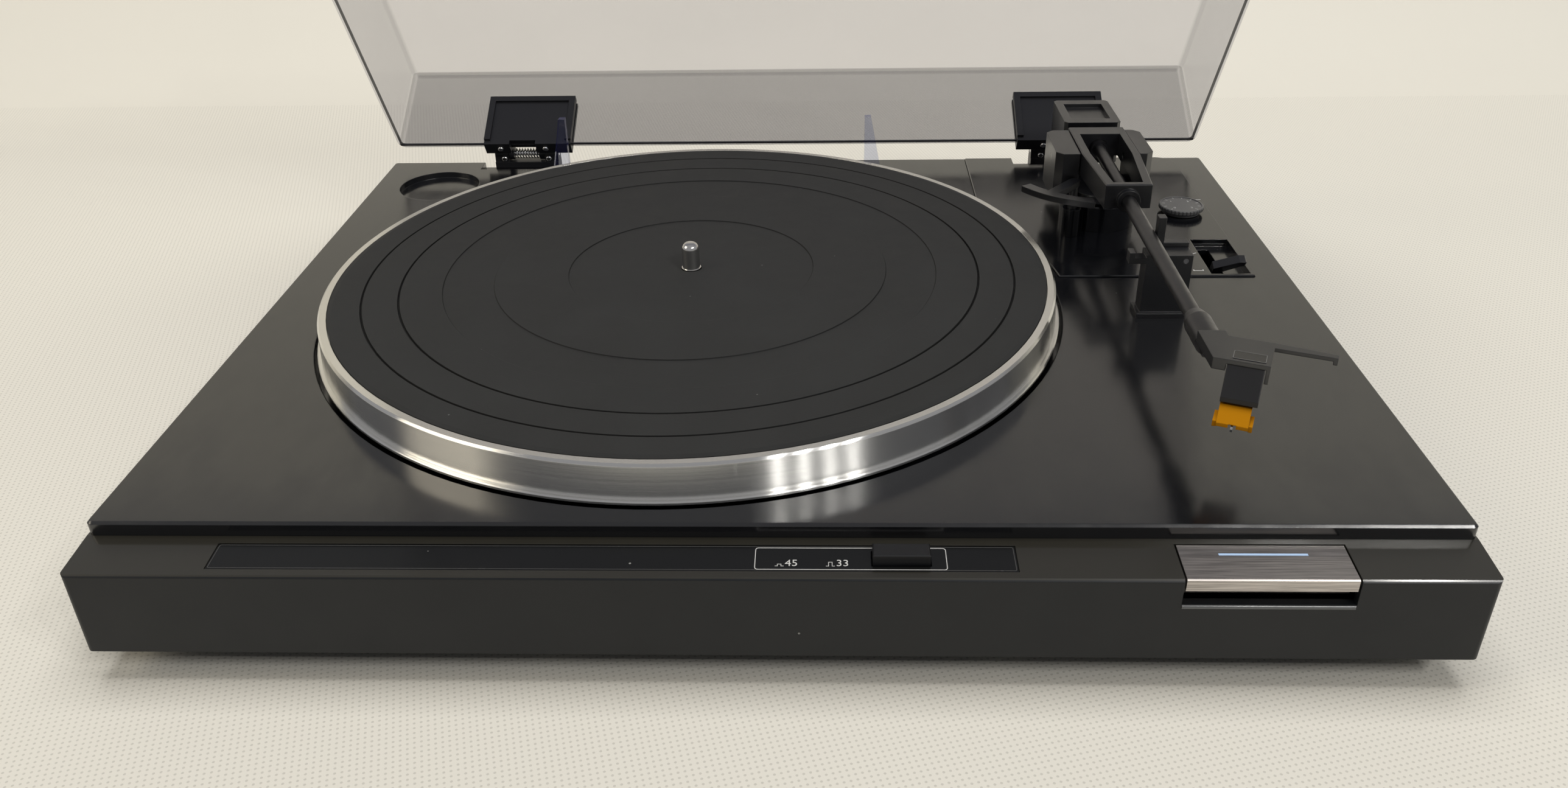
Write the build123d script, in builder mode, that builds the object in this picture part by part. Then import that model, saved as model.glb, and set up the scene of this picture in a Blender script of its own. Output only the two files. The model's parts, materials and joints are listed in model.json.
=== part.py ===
from build123d import *
import os
from math import acos, asin, atan2, ceil, cos, degrees, dist, hypot, pi, radians, sin, sqrt, tan

# Turntable record player: a low plinth with a deck, a belt-driven platter, a straight tonearm on a
# gimbal and a hinged clear lid. Millimetres. X runs to the right, Y to the back, Z up.
# The sizes below count Y from the middle of the plinth. The finished pieces are moved so that the origin
# lies on the table under the middle of the whole part, with its lid standing open.

os.makedirs("parts", exist_ok=True)

# Plinth, deck and feet
base_width = 430.0
base_depth = 346.0
frame_back = 20.33
foot_height = 12.0
foot_radius = 20.0
foot_inset = 40.0
pad_height = 2.0
pad_radius = 17.0
fascia_height = 30.0
wall = 3.0
ledge_depth = 18.3
ledge_rise = 1.5
edge_break = 0.8
deck_thickness = 5.0
deck_seat = 3.0
deck_inset = 0.5
corner_radius = 2.0
cover_thickness = 2.5
cover_gap = 0.3
boss_radius = 5.0
boss_height = 14.0
screw_radius = 1.5
screw_head_radius = 3.0
screw_head_height = 1.4
screw_length = 10.0
fit_gap = 0.05
part_gap = 0.3

# Front controls
strip_length = 246.0
strip_width = 11.4
strip_centre_x = -48.4
strip_recess = 1.2
strip_thickness = 1.0
button_width = 17.4
button_depth = 6.2
button_centre_x = 39.9
button_rise = 3.4
button_travel = 2.5
button_stem = 10.5
switch_height = 11.0
key_width = 50.2
key_centre_x = 148.5
key_depth = 15.4
key_thickness = 2.0
key_lip = 4.2
key_well = 9.1
key_gap = 0.6
key_pin_radius = 1.5
key_boss_radius = 2.8
key_pin_back = 4.8
key_pin_drop = 6.4
key_rib = 4.0

# Platter, spindle and drive
platter_x = -38.0
platter_y = 4.3
platter_radius = 147.5
platter_flare = 2.2
platter_draft = 0.7
platter_rise = 14.0
lip_height = 1.2
skirt_wall = 3.0
disc_thickness = 2.5
mat_radius = 143.8
mat_thickness = 3.0
mat_proud = 0.4
mat_label_radius = 50.0
mat_valley_inner = 80.0
mat_valley_outer = 100.0
mat_step = 0.35
mat_bevel = 1.8
mat_rings = (117.0, 131.2)
ring_width = 0.9
ring_depth = 0.8
well_radius = 151.0
well_depth = 10.0
well_wall = 2.5
spindle_pin_radius = 3.6
spindle_pin_rise = 11.0
spindle_radius = 4.0
hub_radius = 15.0
bearing_radius = 7.0
bearing_flange = 11.0
bearing_floor = 1.5
bearing_drop = 18.0
ball_radius = 2.0
belt_rim_radius = 100.0
belt_rim_wall = 3.0
belt_rim_drop = 13.0
belt_width = 5.0
belt_thickness = 0.7
pulley_radius = 6.0
pulley_height = 12.0
motor_distance = 124.0
motor_angle = 135.0
motor_radius = 18.0
motor_height = 16.0
motor_shaft_radius = 1.0
motor_hole_radius = 9.0
bracket_width = 50.0
bracket_depth = 42.0
bracket_thickness = 1.5
grommet_radius = 4.0
grommet_height = 1.5

# Automatic return gearing under the platter
gear_module = 1.0
pinion_teeth = 18
cam_teeth = 80
missing_teeth = 7
gear_height = 3.0
gear_backlash = 0.25
gear_spread = 0.1
pressure_angle = 20.0
cam_angle = 40.0
cam_track_radius = 26.0
cam_track_wall = 2.0
cam_track_height = 2.5
cam_post_radius = 3.0

# Tonearm
arm_x = 144.0
pivot_distance = 200.0
effective_length = 216.5
tube_rise = 31.5
tube_radius = 2.9
tube_wall = 0.7
tube_back = 8.0
frame_rise = 6.7
frame_height = 10.5
frame_behind = 20.8
frame_ahead = 54.7
frame_kink = 16.0
frame_half_back = 12.7
frame_half_front = 9.7
frame_wall_back = 9.9
frame_wall_front = 2.9
frame_wall_side = 3.5
collar_radius = 4.8
collar_length = 2.4
yoke_left = 23.5
yoke_right = 19.5
yoke_ahead = 14.2
yoke_behind = 18.8
yoke_plate = 4.0
yoke_hub_radius = 17.0
yoke_gap = 0.4
pivot_radius = 1.6
swivel_radius = 3.0
swivel_length = 30.0
sleeve_wall = 3.0
arm_base_radius = 17.0
arm_base_height = 13.0
stub_radius = 4.0
weight_width = 26.4
weight_length = 35.0
weight_height = 20.0
weight_gap = 6.8
weight_shell = 2.0
slug_length = 12.0
slug_height = 10.0
slug_width = 18.0
ferrule_radius = 4.7
ferrule_length = 21.0
ferrule_cone = 5.0
ferrule_behind = 52.5

# Headshell, cartridge and stylus, along the offset direction from the stylus point
offset_angle = 22.0
shell_rise = 4.9
shell_plate = 1.5
shell_skirt = 4.0
shell_wall = 2.0
shell_front = 11.8
shell_left = 9.6
shell_right = 7.8
shell_depth_right = 13.3
shell_behind = 33.1
shell_back_right = 4.6
lift_width = 3.9
lift_tip_width = 2.6
lift_length = 19.0
lift_thickness = 1.3
lift_hook = 1.2
cartridge_left = 5.1
cartridge_right = 6.3
cartridge_back = 27.0
cartridge_nose = 4.8
stylus_drop = 13.9
stylus_half_width = 4.85
stylus_tab = 1.2
cantilever_radius = 0.35

# Lifter, rest, latch, cue lever and skating dial
lifter_radius = 44.5
lifter_width = 5.0
lifter_thickness = 2.7
lifter_from = 14.0
lifter_to = 58.0
lifter_gap = 1.0
lifter_angle = 40.0
lifter_post_at = 24.0
lifter_post_radius = 2.0
lifter_post_length = 28.0
lifter_arm_width = 5.0
lifter_boss_radius = 4.2
rest_at = 97.0
rest_left = 8.2
rest_right = 16.5
rest_post_left = 1.5
rest_depth = 8.0
rest_prong = 2.2
rest_hook_depth = 5.0
rest_hook = 2.4
rest_prong_height = 2.2
rest_floor_rise = 26.5
rest_bar = 3.5
rest_flange = 2.0
rest_flange_lip = 1.5
latch_depth = 4.0
latch_finger = 3.0
latch_finger_rise = 38.8
latch_bar_rise = 28.4
latch_bar = 3.4
latch_gap = 3.6
latch_pin_radius = 1.0
latch_boss_radius = 2.6
latch_boss_drop = 2.4
panel_left = 91.0
panel_right = 199.5
panel_front = 23.5
panel_back_gap = 1.5
panel_edge_radius = 156.0
panel_thickness = 2.0
panel_proud = 0.8
panel_corner = 10.0
cue_left = 181.5
cue_right = 198.0
cue_front = 25.0
cue_back = 61.7
cue_pocket = 3.5
cue_slot_left = 183.9
cue_slot_width = 5.2
cue_slot_front = 25.6
cue_slot_back = 58.0
cue_pivot_y = 46.0
cue_pivot_drop = 22.5
cue_reach = 26.0
cue_lean = 27.0
cue_blade = 13.4
cue_blade_height = 2.4
cue_blade_rise = 4.2
cue_tab = 3.2
cue_stem = 4.0
cue_pin_radius = 1.5
cue_boss_radius = 4.0
cue_bracket = 3.0
dial_x = 185.3
dial_y = 95.0
dial_radius = 10.3
dial_height = 3.6
dial_flange = 1.7
dial_neck_radius = 8.6
dial_rim = 1.1
dial_dish = 0.3
dial_shaft_radius = 2.5
dial_shaft_length = 9.0
dial_flutes = 36
flute_radius = 0.3

# Lid and hinges
lid_width = 420.0
lid_depth = 322.9
lid_height = 50.5
lid_wall = 2.2
lid_corner = 4.0
lid_rim_gap = 1.2
lid_back_inset = 3.6
lid_angle = 58.7
bumper_length = 10.0
bumper_height = 1.0
hinge_side = 72.0
hinge_back = 4.5
hinge_rise = 3.5
hinge_width = 34.0
hinge_depth = 8.5
hinge_drop = 26.0
ear_width = 7.0
ear_radius = 3.6
hinge_pin_radius = 1.5
knuckle_radius = 3.4
knuckle_width = 2.8
bracket_span = 46.0
bracket_shift = 2.7
bracket_rise = 29.5
bracket_notch_rise = 1.5
bracket_plate = 2.5
bracket_rim = 1.2
bracket_rim_width = 3.2
bracket_slot_gap = 0.1
bracket_foot = 2.4
rivet_radius = 1.6
rivet_height = 1.0
rivet_round = 0.8
rivet_drop = 2.0
pocket_depth = 3.0
pocket_margin = 2.0
spring_radius = 2.4
spring_wire = 0.8
spring_turns = 8
spring_pitch = 1.5

# Deck furniture and rear fittings
adapter_side = 34.2
adapter_back = 35.2
adapter_radius = 20.0
adapter_depth = 3.0
post_left_x = -121.4
post_right_x = 41.6
post_back = 13.5
post_height = 28.0
post_foot = 8.6
post_tip = 3.2
post_thickness = 4.0
gland_radius = 4.0
gland_flange = 6.5
gland_bore = 2.4
gland_lip = 2.0
gland_height = 26.0
mains_side = 35.0
signal_side = 37.0
ground_side = 19.0
terminal_radius = 4.0
terminal_length = 6.0

# Electrical parts on the bottom cover
board_x = 150.0
board_y = -60.0
board_width = 80.0
board_depth = 60.0
board_thickness = 1.6
standoff_height = 5.0
standoff_radius = 3.0
standoff_inset = 5.0
capacitor_radius = 4.0
capacitor_height = 9.0
transformer_side_gap = 10.0
transformer_back_gap = 17.0
transformer_width = 34.0
transformer_depth = 30.0
transformer_height = 17.0
coil_margin = 4.0

# Heights and places that follow from the sizes above
cabinet_bottom = foot_height
fascia_top = cabinet_bottom + fascia_height
ledge_back_z = fascia_top + ledge_rise
deck_bottom = ledge_back_z
deck_top = deck_bottom + deck_thickness
front_y = -base_depth / 2
back_y = base_depth / 2
deck_front_y = front_y + ledge_depth
deck_seat_y = deck_front_y + deck_seat
cover_top = cabinet_bottom + cover_thickness
well_floor = deck_top - well_depth
well_under = well_floor - well_wall
platter_top = deck_top + platter_rise
mat_top = platter_top + mat_proud
mat_bottom = mat_top - mat_thickness
disc_bottom = mat_bottom - disc_thickness
hub_bottom = well_floor + bearing_floor + gear_height + 2 * part_gap + 1.0
panel_top = deck_top + panel_proud
arm_y = platter_y + sqrt(pivot_distance**2 - (arm_x - platter_x) ** 2)
tube_z = deck_top + tube_rise
frame_top = tube_z + frame_rise
frame_bottom = frame_top - frame_height
stylus_y = arm_y - effective_length
stylus_z = tube_z - stylus_drop
shell_top = tube_z + shell_rise
hinge_y = back_y + hinge_back
hinge_spread = base_width / 2 - hinge_side
bracket_x = hinge_spread - bracket_shift
ferrule_start = effective_length - ferrule_behind
shell_back = effective_length - shell_behind
panel_back = back_y - panel_back_gap
post_y = back_y - post_back
adapter_x = adapter_side - base_width / 2
adapter_y = back_y - adapter_back
mains_x = mains_side - base_width / 2
signal_x = base_width / 2 - signal_side
ground_x = base_width / 2 - ground_side
transformer_x = base_width / 2 - wall - transformer_side_gap - transformer_width / 2
transformer_y = back_y - wall - transformer_back_gap - transformer_depth / 2
hinge_z = deck_top + hinge_rise


def block(x0, x1, y0, y1, z0, z1, mode=Mode.ADD):
    """Add or cut a box between two corners."""
    with Locations(((x0 + x1) / 2, (y0 + y1) / 2, (z0 + z1) / 2)):
        Box(x1 - x0, y1 - y0, z1 - z0, mode=mode)


def post(x, y, z0, z1, radius, mode=Mode.ADD):
    """Add or cut an upright round bar."""
    with Locations((x, y, (z0 + z1) / 2)):
        Cylinder(radius, z1 - z0, mode=mode)


def bar_x(x0, x1, y, z, radius, mode=Mode.ADD):
    """Add or cut a round bar along X."""
    with Locations(((x0 + x1) / 2, y, z)):
        Cylinder(radius, x1 - x0, rotation=(0, 90, 0), mode=mode)


def bar_y(x, y0, y1, z, radius, mode=Mode.ADD):
    """Add or cut a round bar along Y."""
    with Locations((x, (y0 + y1) / 2, z)):
        Cylinder(radius, y1 - y0, rotation=(90, 0, 0), mode=mode)


def turned(x, y, profile):
    """A solid turned about the upright line through a point, from (radius, height) corners."""
    with BuildPart() as piece:
        with BuildSketch(Plane((x, y, 0), x_dir=(1, 0, 0), z_dir=(0, -1, 0))):
            with BuildLine():
                Polyline(*profile, close=True)
            make_face()
        revolve(axis=Axis((x, y, 0), (0, 0, 1)))
    return piece


def profile_x(corners, x0, x1):
    """A bar along X whose section is the outline through (y, z) corners."""
    with BuildPart() as piece:
        with BuildSketch(Plane((x0, 0, 0), x_dir=(0, 1, 0), z_dir=(1, 0, 0))):
            with BuildLine():
                Polyline(*corners, close=True)
            make_face()
        extrude(amount=x1 - x0)
    return piece.part


def plate(corners, z0, z1):
    """A flat plate whose plan is the outline through (x, y) corners."""
    with BuildPart() as piece:
        with BuildSketch(Plane.XY.offset(z0)):
            with BuildLine():
                Polyline(*corners, close=True)
            make_face()
        extrude(amount=z1 - z0)
    return piece.part


def save(piece, name):
    """Move a finished piece to the part's origin, label it and write its STEP file."""
    placed = piece.part.moved(Location((0, -frame_back, 0)))
    placed.label = name
    export_step(placed, f"parts/{name}.step")


def around_platter(radius, angle):
    """A plan point at a radius and an angle in degrees from the platter's axis."""
    return platter_x + radius * cos(radians(angle)), platter_y + radius * sin(radians(angle))


def around_arm(radius, swing):
    """A plan point at a radius from the arm's pivot, swing degrees from the parked arm to the platter."""
    return arm_x - radius * sin(radians(swing)), arm_y - radius * cos(radians(swing))


# Plinth: fascia, sloping control ledge, side and back walls
cover_screws = [
    (x * (base_width / 2 - wall - boss_radius + edge_break), y * (base_depth / 2 - wall - boss_radius + edge_break))
    for x in (-1, 1)
    for y in (-1, 1)
]
cover_screws += [(x, y * (base_depth / 2 - wall - boss_radius + edge_break)) for x in (-base_width / 6, base_width / 6) for y in (-1, 1)]
ledge_plane = Plane(
    (0, (front_y + deck_front_y) / 2, (fascia_top + ledge_back_z) / 2),
    x_dir=(1, 0, 0),
    z_dir=(0, -ledge_rise, ledge_depth),
)
button_y = ledge_plane.origin.Y
button_top = ledge_plane.origin.Z + button_rise
button_bottom = button_top - button_rise - button_stem
switch_top = button_bottom - button_travel - part_gap
key_left = key_centre_x - key_width / 2
key_right = key_centre_x + key_width / 2
key_back_y = front_y + key_depth
key_pin_y = key_back_y + key_pin_back
key_pin_z = fascia_top + ledge_rise - key_pin_drop
gland_places = [(mains_x, gland_radius), (signal_x, gland_radius)]

with BuildPart() as plinth:
    with BuildSketch(Plane.YZ):
        with BuildLine():
            Polyline(
                (front_y, cabinet_bottom),
                (front_y, fascia_top - edge_break),
                (front_y + edge_break, fascia_top),
                (deck_front_y, ledge_back_z),
                (back_y, ledge_back_z),
                (back_y, cabinet_bottom),
                close=True,
            )
        make_face()
    extrude(amount=base_width / 2, both=True)
    fillet(plinth.edges().filter_by(Axis.Z), radius=corner_radius)
    with BuildSketch(Plane.YZ):
        with BuildLine():
            Polyline(
                (front_y + wall, cabinet_bottom),
                (front_y + wall, fascia_top - wall),
                (deck_seat_y, ledge_back_z - wall),
                (deck_seat_y, ledge_back_z),
                (back_y - wall, ledge_back_z),
                (back_y - wall, cabinet_bottom),
                close=True,
            )
        make_face()
    extrude(amount=base_width / 2 - wall, both=True, mode=Mode.SUBTRACT)
    for x, y in cover_screws:
        post(x, y, cover_top, cover_top + boss_height, boss_radius)
        post(x, y, cover_top, cover_top + boss_height - wall, screw_radius + fit_gap, Mode.SUBTRACT)
    with BuildSketch(ledge_plane):
        with Locations((strip_centre_x, 0)):
            Rectangle(strip_length + part_gap, strip_width + part_gap)
    extrude(amount=-strip_recess, mode=Mode.SUBTRACT)
    block(
        button_centre_x - button_width / 2 - part_gap,
        button_centre_x + button_width / 2 + part_gap,
        button_y - button_depth / 2 - part_gap,
        button_y + button_depth / 2 + part_gap,
        fascia_top - 2 * wall,
        ledge_back_z,
        Mode.SUBTRACT,
    )
    block(
        key_left - key_gap,
        key_right + key_gap,
        front_y - wall,
        key_back_y + key_gap,
        fascia_top - key_well,
        ledge_back_z,
        Mode.SUBTRACT,
    )
    for side in (-1, 1):
        rib_x = key_centre_x + side * (key_width / 2 + key_rib)
        block(
            rib_x - key_rib / 2,
            rib_x + key_rib / 2,
            front_y + wall / 2,
            key_pin_y + key_boss_radius,
            key_pin_z - key_boss_radius,
            ledge_back_z - wall / 2 - ledge_rise,
        )
    bar_x(key_left - 2 * key_rib, key_right + 2 * key_rib, key_pin_y, key_pin_z, key_pin_radius + fit_gap, Mode.SUBTRACT)
    for x, radius in gland_places:
        bar_y(x, back_y - wall, back_y, gland_height, radius + fit_gap, Mode.SUBTRACT)
    bar_y(ground_x, back_y - wall, back_y, gland_height, screw_radius + fit_gap, Mode.SUBTRACT)
save(plinth, "plinth")

# Recessed control strip on the ledge, with the slot for the speed button
with BuildPart() as control_strip:
    with BuildSketch(ledge_plane.offset(-strip_recess)):
        with Locations((strip_centre_x, 0)):
            Rectangle(strip_length, strip_width)
        with Locations((button_centre_x, 0)):
            Rectangle(button_width + 2 * part_gap, button_depth + 2 * part_gap, mode=Mode.SUBTRACT)
    extrude(amount=strip_thickness)
save(control_strip, "control_strip")

# Speed push button and the switch below it
with BuildPart() as speed_button:
    block(
        button_centre_x - button_width / 2,
        button_centre_x + button_width / 2,
        button_y - button_depth / 2,
        button_y + button_depth / 2,
        button_bottom,
        button_top,
    )
    chamfer(speed_button.faces().sort_by(Axis.Z)[-1].edges(), length=edge_break / 2)
save(speed_button, "speed_button")

with BuildPart() as speed_switch:
    block(
        button_centre_x - button_width / 2,
        button_centre_x + button_width / 2,
        front_y + wall,
        button_y + button_depth / 2,
        switch_top - switch_height,
        switch_top,
    )
save(speed_switch, "speed_switch")

# Return key: a plate that follows the ledge, turns down over the fascia and hinges at its back
key_slope = ledge_rise / ledge_depth
key_front_y = front_y + part_gap
key_front_z = fascia_top
key_top_back = key_front_z + key_depth * key_slope
with BuildPart() as return_key:
    add(
        profile_x(
            [
                (key_front_y, key_front_z - key_lip),
                (key_front_y, key_front_z - edge_break / 2),
                (key_front_y + edge_break / 2, key_front_z),
                (key_back_y, key_top_back),
                (key_back_y, key_pin_z - key_boss_radius / 2),
                (key_back_y - key_thickness, key_pin_z - key_boss_radius / 2),
                (key_back_y - key_thickness, key_top_back - key_thickness),
                (key_front_y + key_thickness, key_front_z - key_thickness),
                (key_front_y + key_thickness, key_front_z - key_lip),
            ],
            key_left,
            key_right,
        )
    )
    block(
        key_left,
        key_right,
        front_y + wall + key_thickness,
        front_y + wall + 2 * key_thickness,
        fascia_top - key_well + key_gap,
        fascia_top - key_thickness / 2,
    )
    for side in (-1, 1):
        boss_x = key_centre_x + side * (key_width / 2 - key_rib)
        block(
            boss_x - key_rib / 2,
            boss_x + key_rib / 2,
            key_back_y - key_thickness,
            key_pin_y,
            key_pin_z - key_boss_radius / 2,
            key_pin_z + key_boss_radius / 2,
        )
        bar_x(boss_x - key_rib / 2, boss_x + key_rib / 2, key_pin_y, key_pin_z, key_boss_radius)
        bar_x(boss_x - key_rib, boss_x + key_rib, key_pin_y, key_pin_z, key_pin_radius + fit_gap, Mode.SUBTRACT)
save(return_key, "return_key")

# Deck: top plate with the platter well, the arm panel's recess, the lid's hinge pockets and the adapter tray
motor_x, motor_y = around_platter(motor_distance, motor_angle)
cam_distance = gear_module * (pinion_teeth + cam_teeth) / 2 + gear_spread
cam_x, cam_y = around_platter(cam_distance, cam_angle)
lifter_x, lifter_y = around_arm(lifter_post_at, lifter_angle)
sleeve_radius = swivel_radius + sleeve_wall
rest_y = arm_y - rest_at
pocket_half = bracket_span / 2 + pocket_margin
pocket_front = back_y - lid_back_inset - lid_wall - bracket_plate - bracket_rim - pocket_margin
edge_low = degrees(asin((panel_front - platter_y) / panel_edge_radius))
edge_high = degrees(acos((panel_left - platter_x) / panel_edge_radius))


def panel_face(gap):
    """The arm panel's outline, with a concave edge round the platter, grown by a gap."""
    edge = panel_edge_radius - gap
    low = degrees(asin((panel_front - gap - platter_y) / edge))
    high = degrees(acos((panel_left - gap - platter_x) / edge))
    with BuildSketch(mode=Mode.PRIVATE) as outline:
        with BuildLine():
            Line((panel_left - gap, panel_back + gap), around_platter(edge, high))
            ThreePointArc(
                around_platter(edge, high), around_platter(edge, (low + high) / 2), around_platter(edge, low)
            )
            Polyline(
                around_platter(edge, low),
                (panel_right + gap, panel_front - gap),
                (panel_right + gap, panel_back + gap),
                (panel_left - gap, panel_back + gap),
            )
        make_face()
        fillet(outline.vertices().group_by(Axis.X)[-1].sort_by(Axis.Y)[-1], radius=panel_corner)
    return outline.sketch


panel_recess = panel_face(part_gap / 2).moved(Location((0, 0, deck_top)))
panel_shape = panel_face(0).moved(Location((0, 0, panel_top)))

with BuildPart() as deck:
    half = base_width / 2 - deck_inset
    block(-half, half, deck_front_y, back_y, deck_bottom, deck_top)
    fillet(deck.edges().filter_by(Axis.Z), radius=corner_radius)
    chamfer(deck.faces().sort_by(Axis.Z)[-1].edges(), length=edge_break)
    post(platter_x, platter_y, well_under, deck_bottom, well_radius + well_wall)
    post(platter_x, platter_y, well_floor, deck_top, well_radius, Mode.SUBTRACT)
    chamfer(deck.edges().filter_by(GeomType.CIRCLE).sort_by(Axis.Z)[-1], length=edge_break / 2)
    post(platter_x, platter_y, well_under, well_floor, bearing_radius + fit_gap, Mode.SUBTRACT)
    post(motor_x, motor_y, well_under, well_floor, motor_hole_radius, Mode.SUBTRACT)
    post(cam_x, cam_y, well_under, well_floor, cam_post_radius + fit_gap, Mode.SUBTRACT)
    extrude(panel_recess, amount=panel_proud - panel_thickness, mode=Mode.SUBTRACT)
    post(arm_x, arm_y, deck_bottom, deck_top, sleeve_radius + part_gap, Mode.SUBTRACT)
    post(lifter_x, lifter_y, deck_bottom, deck_top, lifter_post_radius + part_gap, Mode.SUBTRACT)
    post(dial_x, dial_y, deck_bottom, deck_top, dial_shaft_radius + fit_gap, Mode.SUBTRACT)
    block(cue_left, cue_right, cue_front, cue_back, panel_top - cue_pocket, deck_top, Mode.SUBTRACT)
    block(cue_slot_left, cue_slot_left + cue_slot_width, cue_slot_front, cue_slot_back, deck_bottom, deck_top, Mode.SUBTRACT)
    for side in (-1, 1):
        ear_x = cue_slot_left + cue_slot_width / 2 + side * (cue_slot_width + cue_bracket) / 2
        block(
            ear_x - cue_bracket / 2,
            ear_x + cue_bracket / 2,
            cue_pivot_y - cue_boss_radius,
            cue_pivot_y + cue_boss_radius,
            deck_top - cue_pivot_drop - cue_boss_radius,
            deck_bottom,
        )
    bar_x(
        cue_slot_left - 2 * cue_bracket,
        cue_slot_left + cue_slot_width + 2 * cue_bracket,
        cue_pivot_y,
        deck_top - cue_pivot_drop,
        cue_pin_radius + fit_gap,
        Mode.SUBTRACT,
    )
    for side in (-1, 1):
        x = side * bracket_x
        block(x - pocket_half, x + pocket_half, pocket_front, back_y, deck_top - pocket_depth, deck_top, Mode.SUBTRACT)
    post(adapter_x, adapter_y, deck_top - adapter_depth, deck_top, adapter_radius, Mode.SUBTRACT)
save(deck, "deck")

# Arm panel laid in the deck
with BuildPart() as arm_panel:
    extrude(panel_shape, amount=-panel_thickness)
    chamfer(arm_panel.faces().sort_by(Axis.Z)[-1].edges(), length=edge_break / 2)
    post(arm_x, arm_y, deck_bottom, panel_top, sleeve_radius + part_gap, Mode.SUBTRACT)
    post(lifter_x, lifter_y, deck_bottom, panel_top, lifter_post_radius + part_gap, Mode.SUBTRACT)
    post(dial_x, dial_y, deck_bottom, panel_top, dial_shaft_radius + fit_gap, Mode.SUBTRACT)
    block(cue_left, cue_right, cue_front, cue_back, deck_bottom, panel_top, Mode.SUBTRACT)
    block(
        bracket_x - pocket_half, bracket_x + pocket_half, pocket_front, back_y, deck_bottom, panel_top, Mode.SUBTRACT
    )
save(arm_panel, "arm_panel")

# Bottom cover with standoffs for the circuit board
board_corners = [
    (board_x + x * (board_width / 2 - standoff_inset), board_y + y * (board_depth / 2 - standoff_inset))
    for x in (-1, 1)
    for y in (-1, 1)
]
board_bottom = cover_top + standoff_height
board_top = board_bottom + board_thickness
with BuildPart() as bottom_cover:
    half_x = base_width / 2 - wall - cover_gap
    half_y = base_depth / 2 - wall - cover_gap
    block(-half_x, half_x, -half_y, half_y, cabinet_bottom, cover_top)
    for x, y in cover_screws:
        post(x, y, cabinet_bottom, cover_top, screw_radius + fit_gap, Mode.SUBTRACT)
    for x, y in board_corners:
        post(x, y, cover_top, board_bottom, standoff_radius)
save(bottom_cover, "bottom_cover")

with BuildPart() as cover_screw_set:
    for x, y in cover_screws:
        post(x, y, cabinet_bottom - screw_head_height, cabinet_bottom, screw_head_radius)
        post(x, y, cabinet_bottom, cabinet_bottom + screw_length, screw_radius)
save(cover_screw_set, "cover_screws")

# Feet and their pads
foot_places = [
    (x * (base_width / 2 - foot_inset), y * (base_depth / 2 - foot_inset)) for x in (-1, 1) for y in (-1, 1)
]
with BuildPart() as feet:
    for x, y in foot_places:
        post(x, y, pad_height, cabinet_bottom, foot_radius)
    chamfer(feet.edges().filter_by(GeomType.CIRCLE).group_by(Axis.Z)[0], length=edge_break)
save(feet, "feet")

with BuildPart() as foot_pads:
    for x, y in foot_places:
        post(x, y, 0, pad_height, pad_radius)
save(foot_pads, "foot_pads")

# Bearing well for the spindle, with its thrust ball
bearing_bottom = well_floor - bearing_drop
ball_z = bearing_bottom + bearing_floor + ball_radius
spindle_bottom = ball_z + ball_radius + fit_gap
spindle_bearing = turned(
    platter_x,
    platter_y,
    [
        (0, bearing_bottom),
        (bearing_radius, bearing_bottom),
        (bearing_radius, well_floor),
        (bearing_flange, well_floor),
        (bearing_flange, well_floor + bearing_floor),
        (spindle_radius + fit_gap, well_floor + bearing_floor),
        (spindle_radius + fit_gap, bearing_bottom + bearing_floor),
        (0, bearing_bottom + bearing_floor),
    ],
)
save(spindle_bearing, "spindle_bearing")

with BuildPart() as thrust_ball:
    with Locations((platter_x, platter_y, ball_z)):
        Sphere(ball_radius)
save(thrust_ball, "thrust_ball")

# Platter: disc, flared skirt with a lip, hub and belt rim
skirt_bottom = deck_top + part_gap
lip_radius = platter_radius + platter_flare
platter = turned(
    platter_x,
    platter_y,
    [
        (spindle_radius, hub_bottom),
        (hub_radius, hub_bottom),
        (hub_radius, disc_bottom),
        (belt_rim_radius - belt_rim_wall, disc_bottom),
        (belt_rim_radius - belt_rim_wall, disc_bottom - belt_rim_drop),
        (belt_rim_radius, disc_bottom - belt_rim_drop),
        (belt_rim_radius, disc_bottom),
        (platter_radius - skirt_wall, disc_bottom),
        (lip_radius - skirt_wall, skirt_bottom),
        (lip_radius, skirt_bottom),
        (lip_radius, skirt_bottom + lip_height - edge_break / 2),
        (lip_radius - edge_break / 2, skirt_bottom + lip_height),
        (platter_radius + platter_draft, skirt_bottom + lip_height),
        (platter_radius, platter_top - edge_break),
        (platter_radius - edge_break, platter_top),
        (mat_radius + part_gap, platter_top),
        (mat_radius + part_gap, mat_bottom),
        (spindle_radius, mat_bottom),
    ],
)
save(platter, "platter")

# Rubber mat: lowered label and valley, fine ring grooves and a bevelled edge
mat_low = mat_top - mat_step
step_profile = [
    (mat_label_radius, mat_low),
    (mat_label_radius + ring_width / 4, mat_top),
    (mat_valley_inner - ring_width / 4, mat_top),
    (mat_valley_inner, mat_low),
    (mat_valley_outer, mat_low),
    (mat_valley_outer + ring_width / 4, mat_top),
]
groove_profile = []
for ring in mat_rings:
    groove_profile += [
        (ring - ring_width / 2, mat_top),
        (ring - ring_width / 4, mat_top - ring_depth),
        (ring + ring_width / 4, mat_top - ring_depth),
        (ring + ring_width / 2, mat_top),
    ]
slip_mat = turned(
    platter_x,
    platter_y,
    [(spindle_radius + part_gap, mat_bottom), (spindle_radius + part_gap, mat_low)]
    + step_profile
    + groove_profile
    + [(mat_radius - mat_bevel, mat_top), (mat_radius, mat_low), (mat_radius, mat_bottom)],
)
save(slip_mat, "slip_mat")

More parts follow.
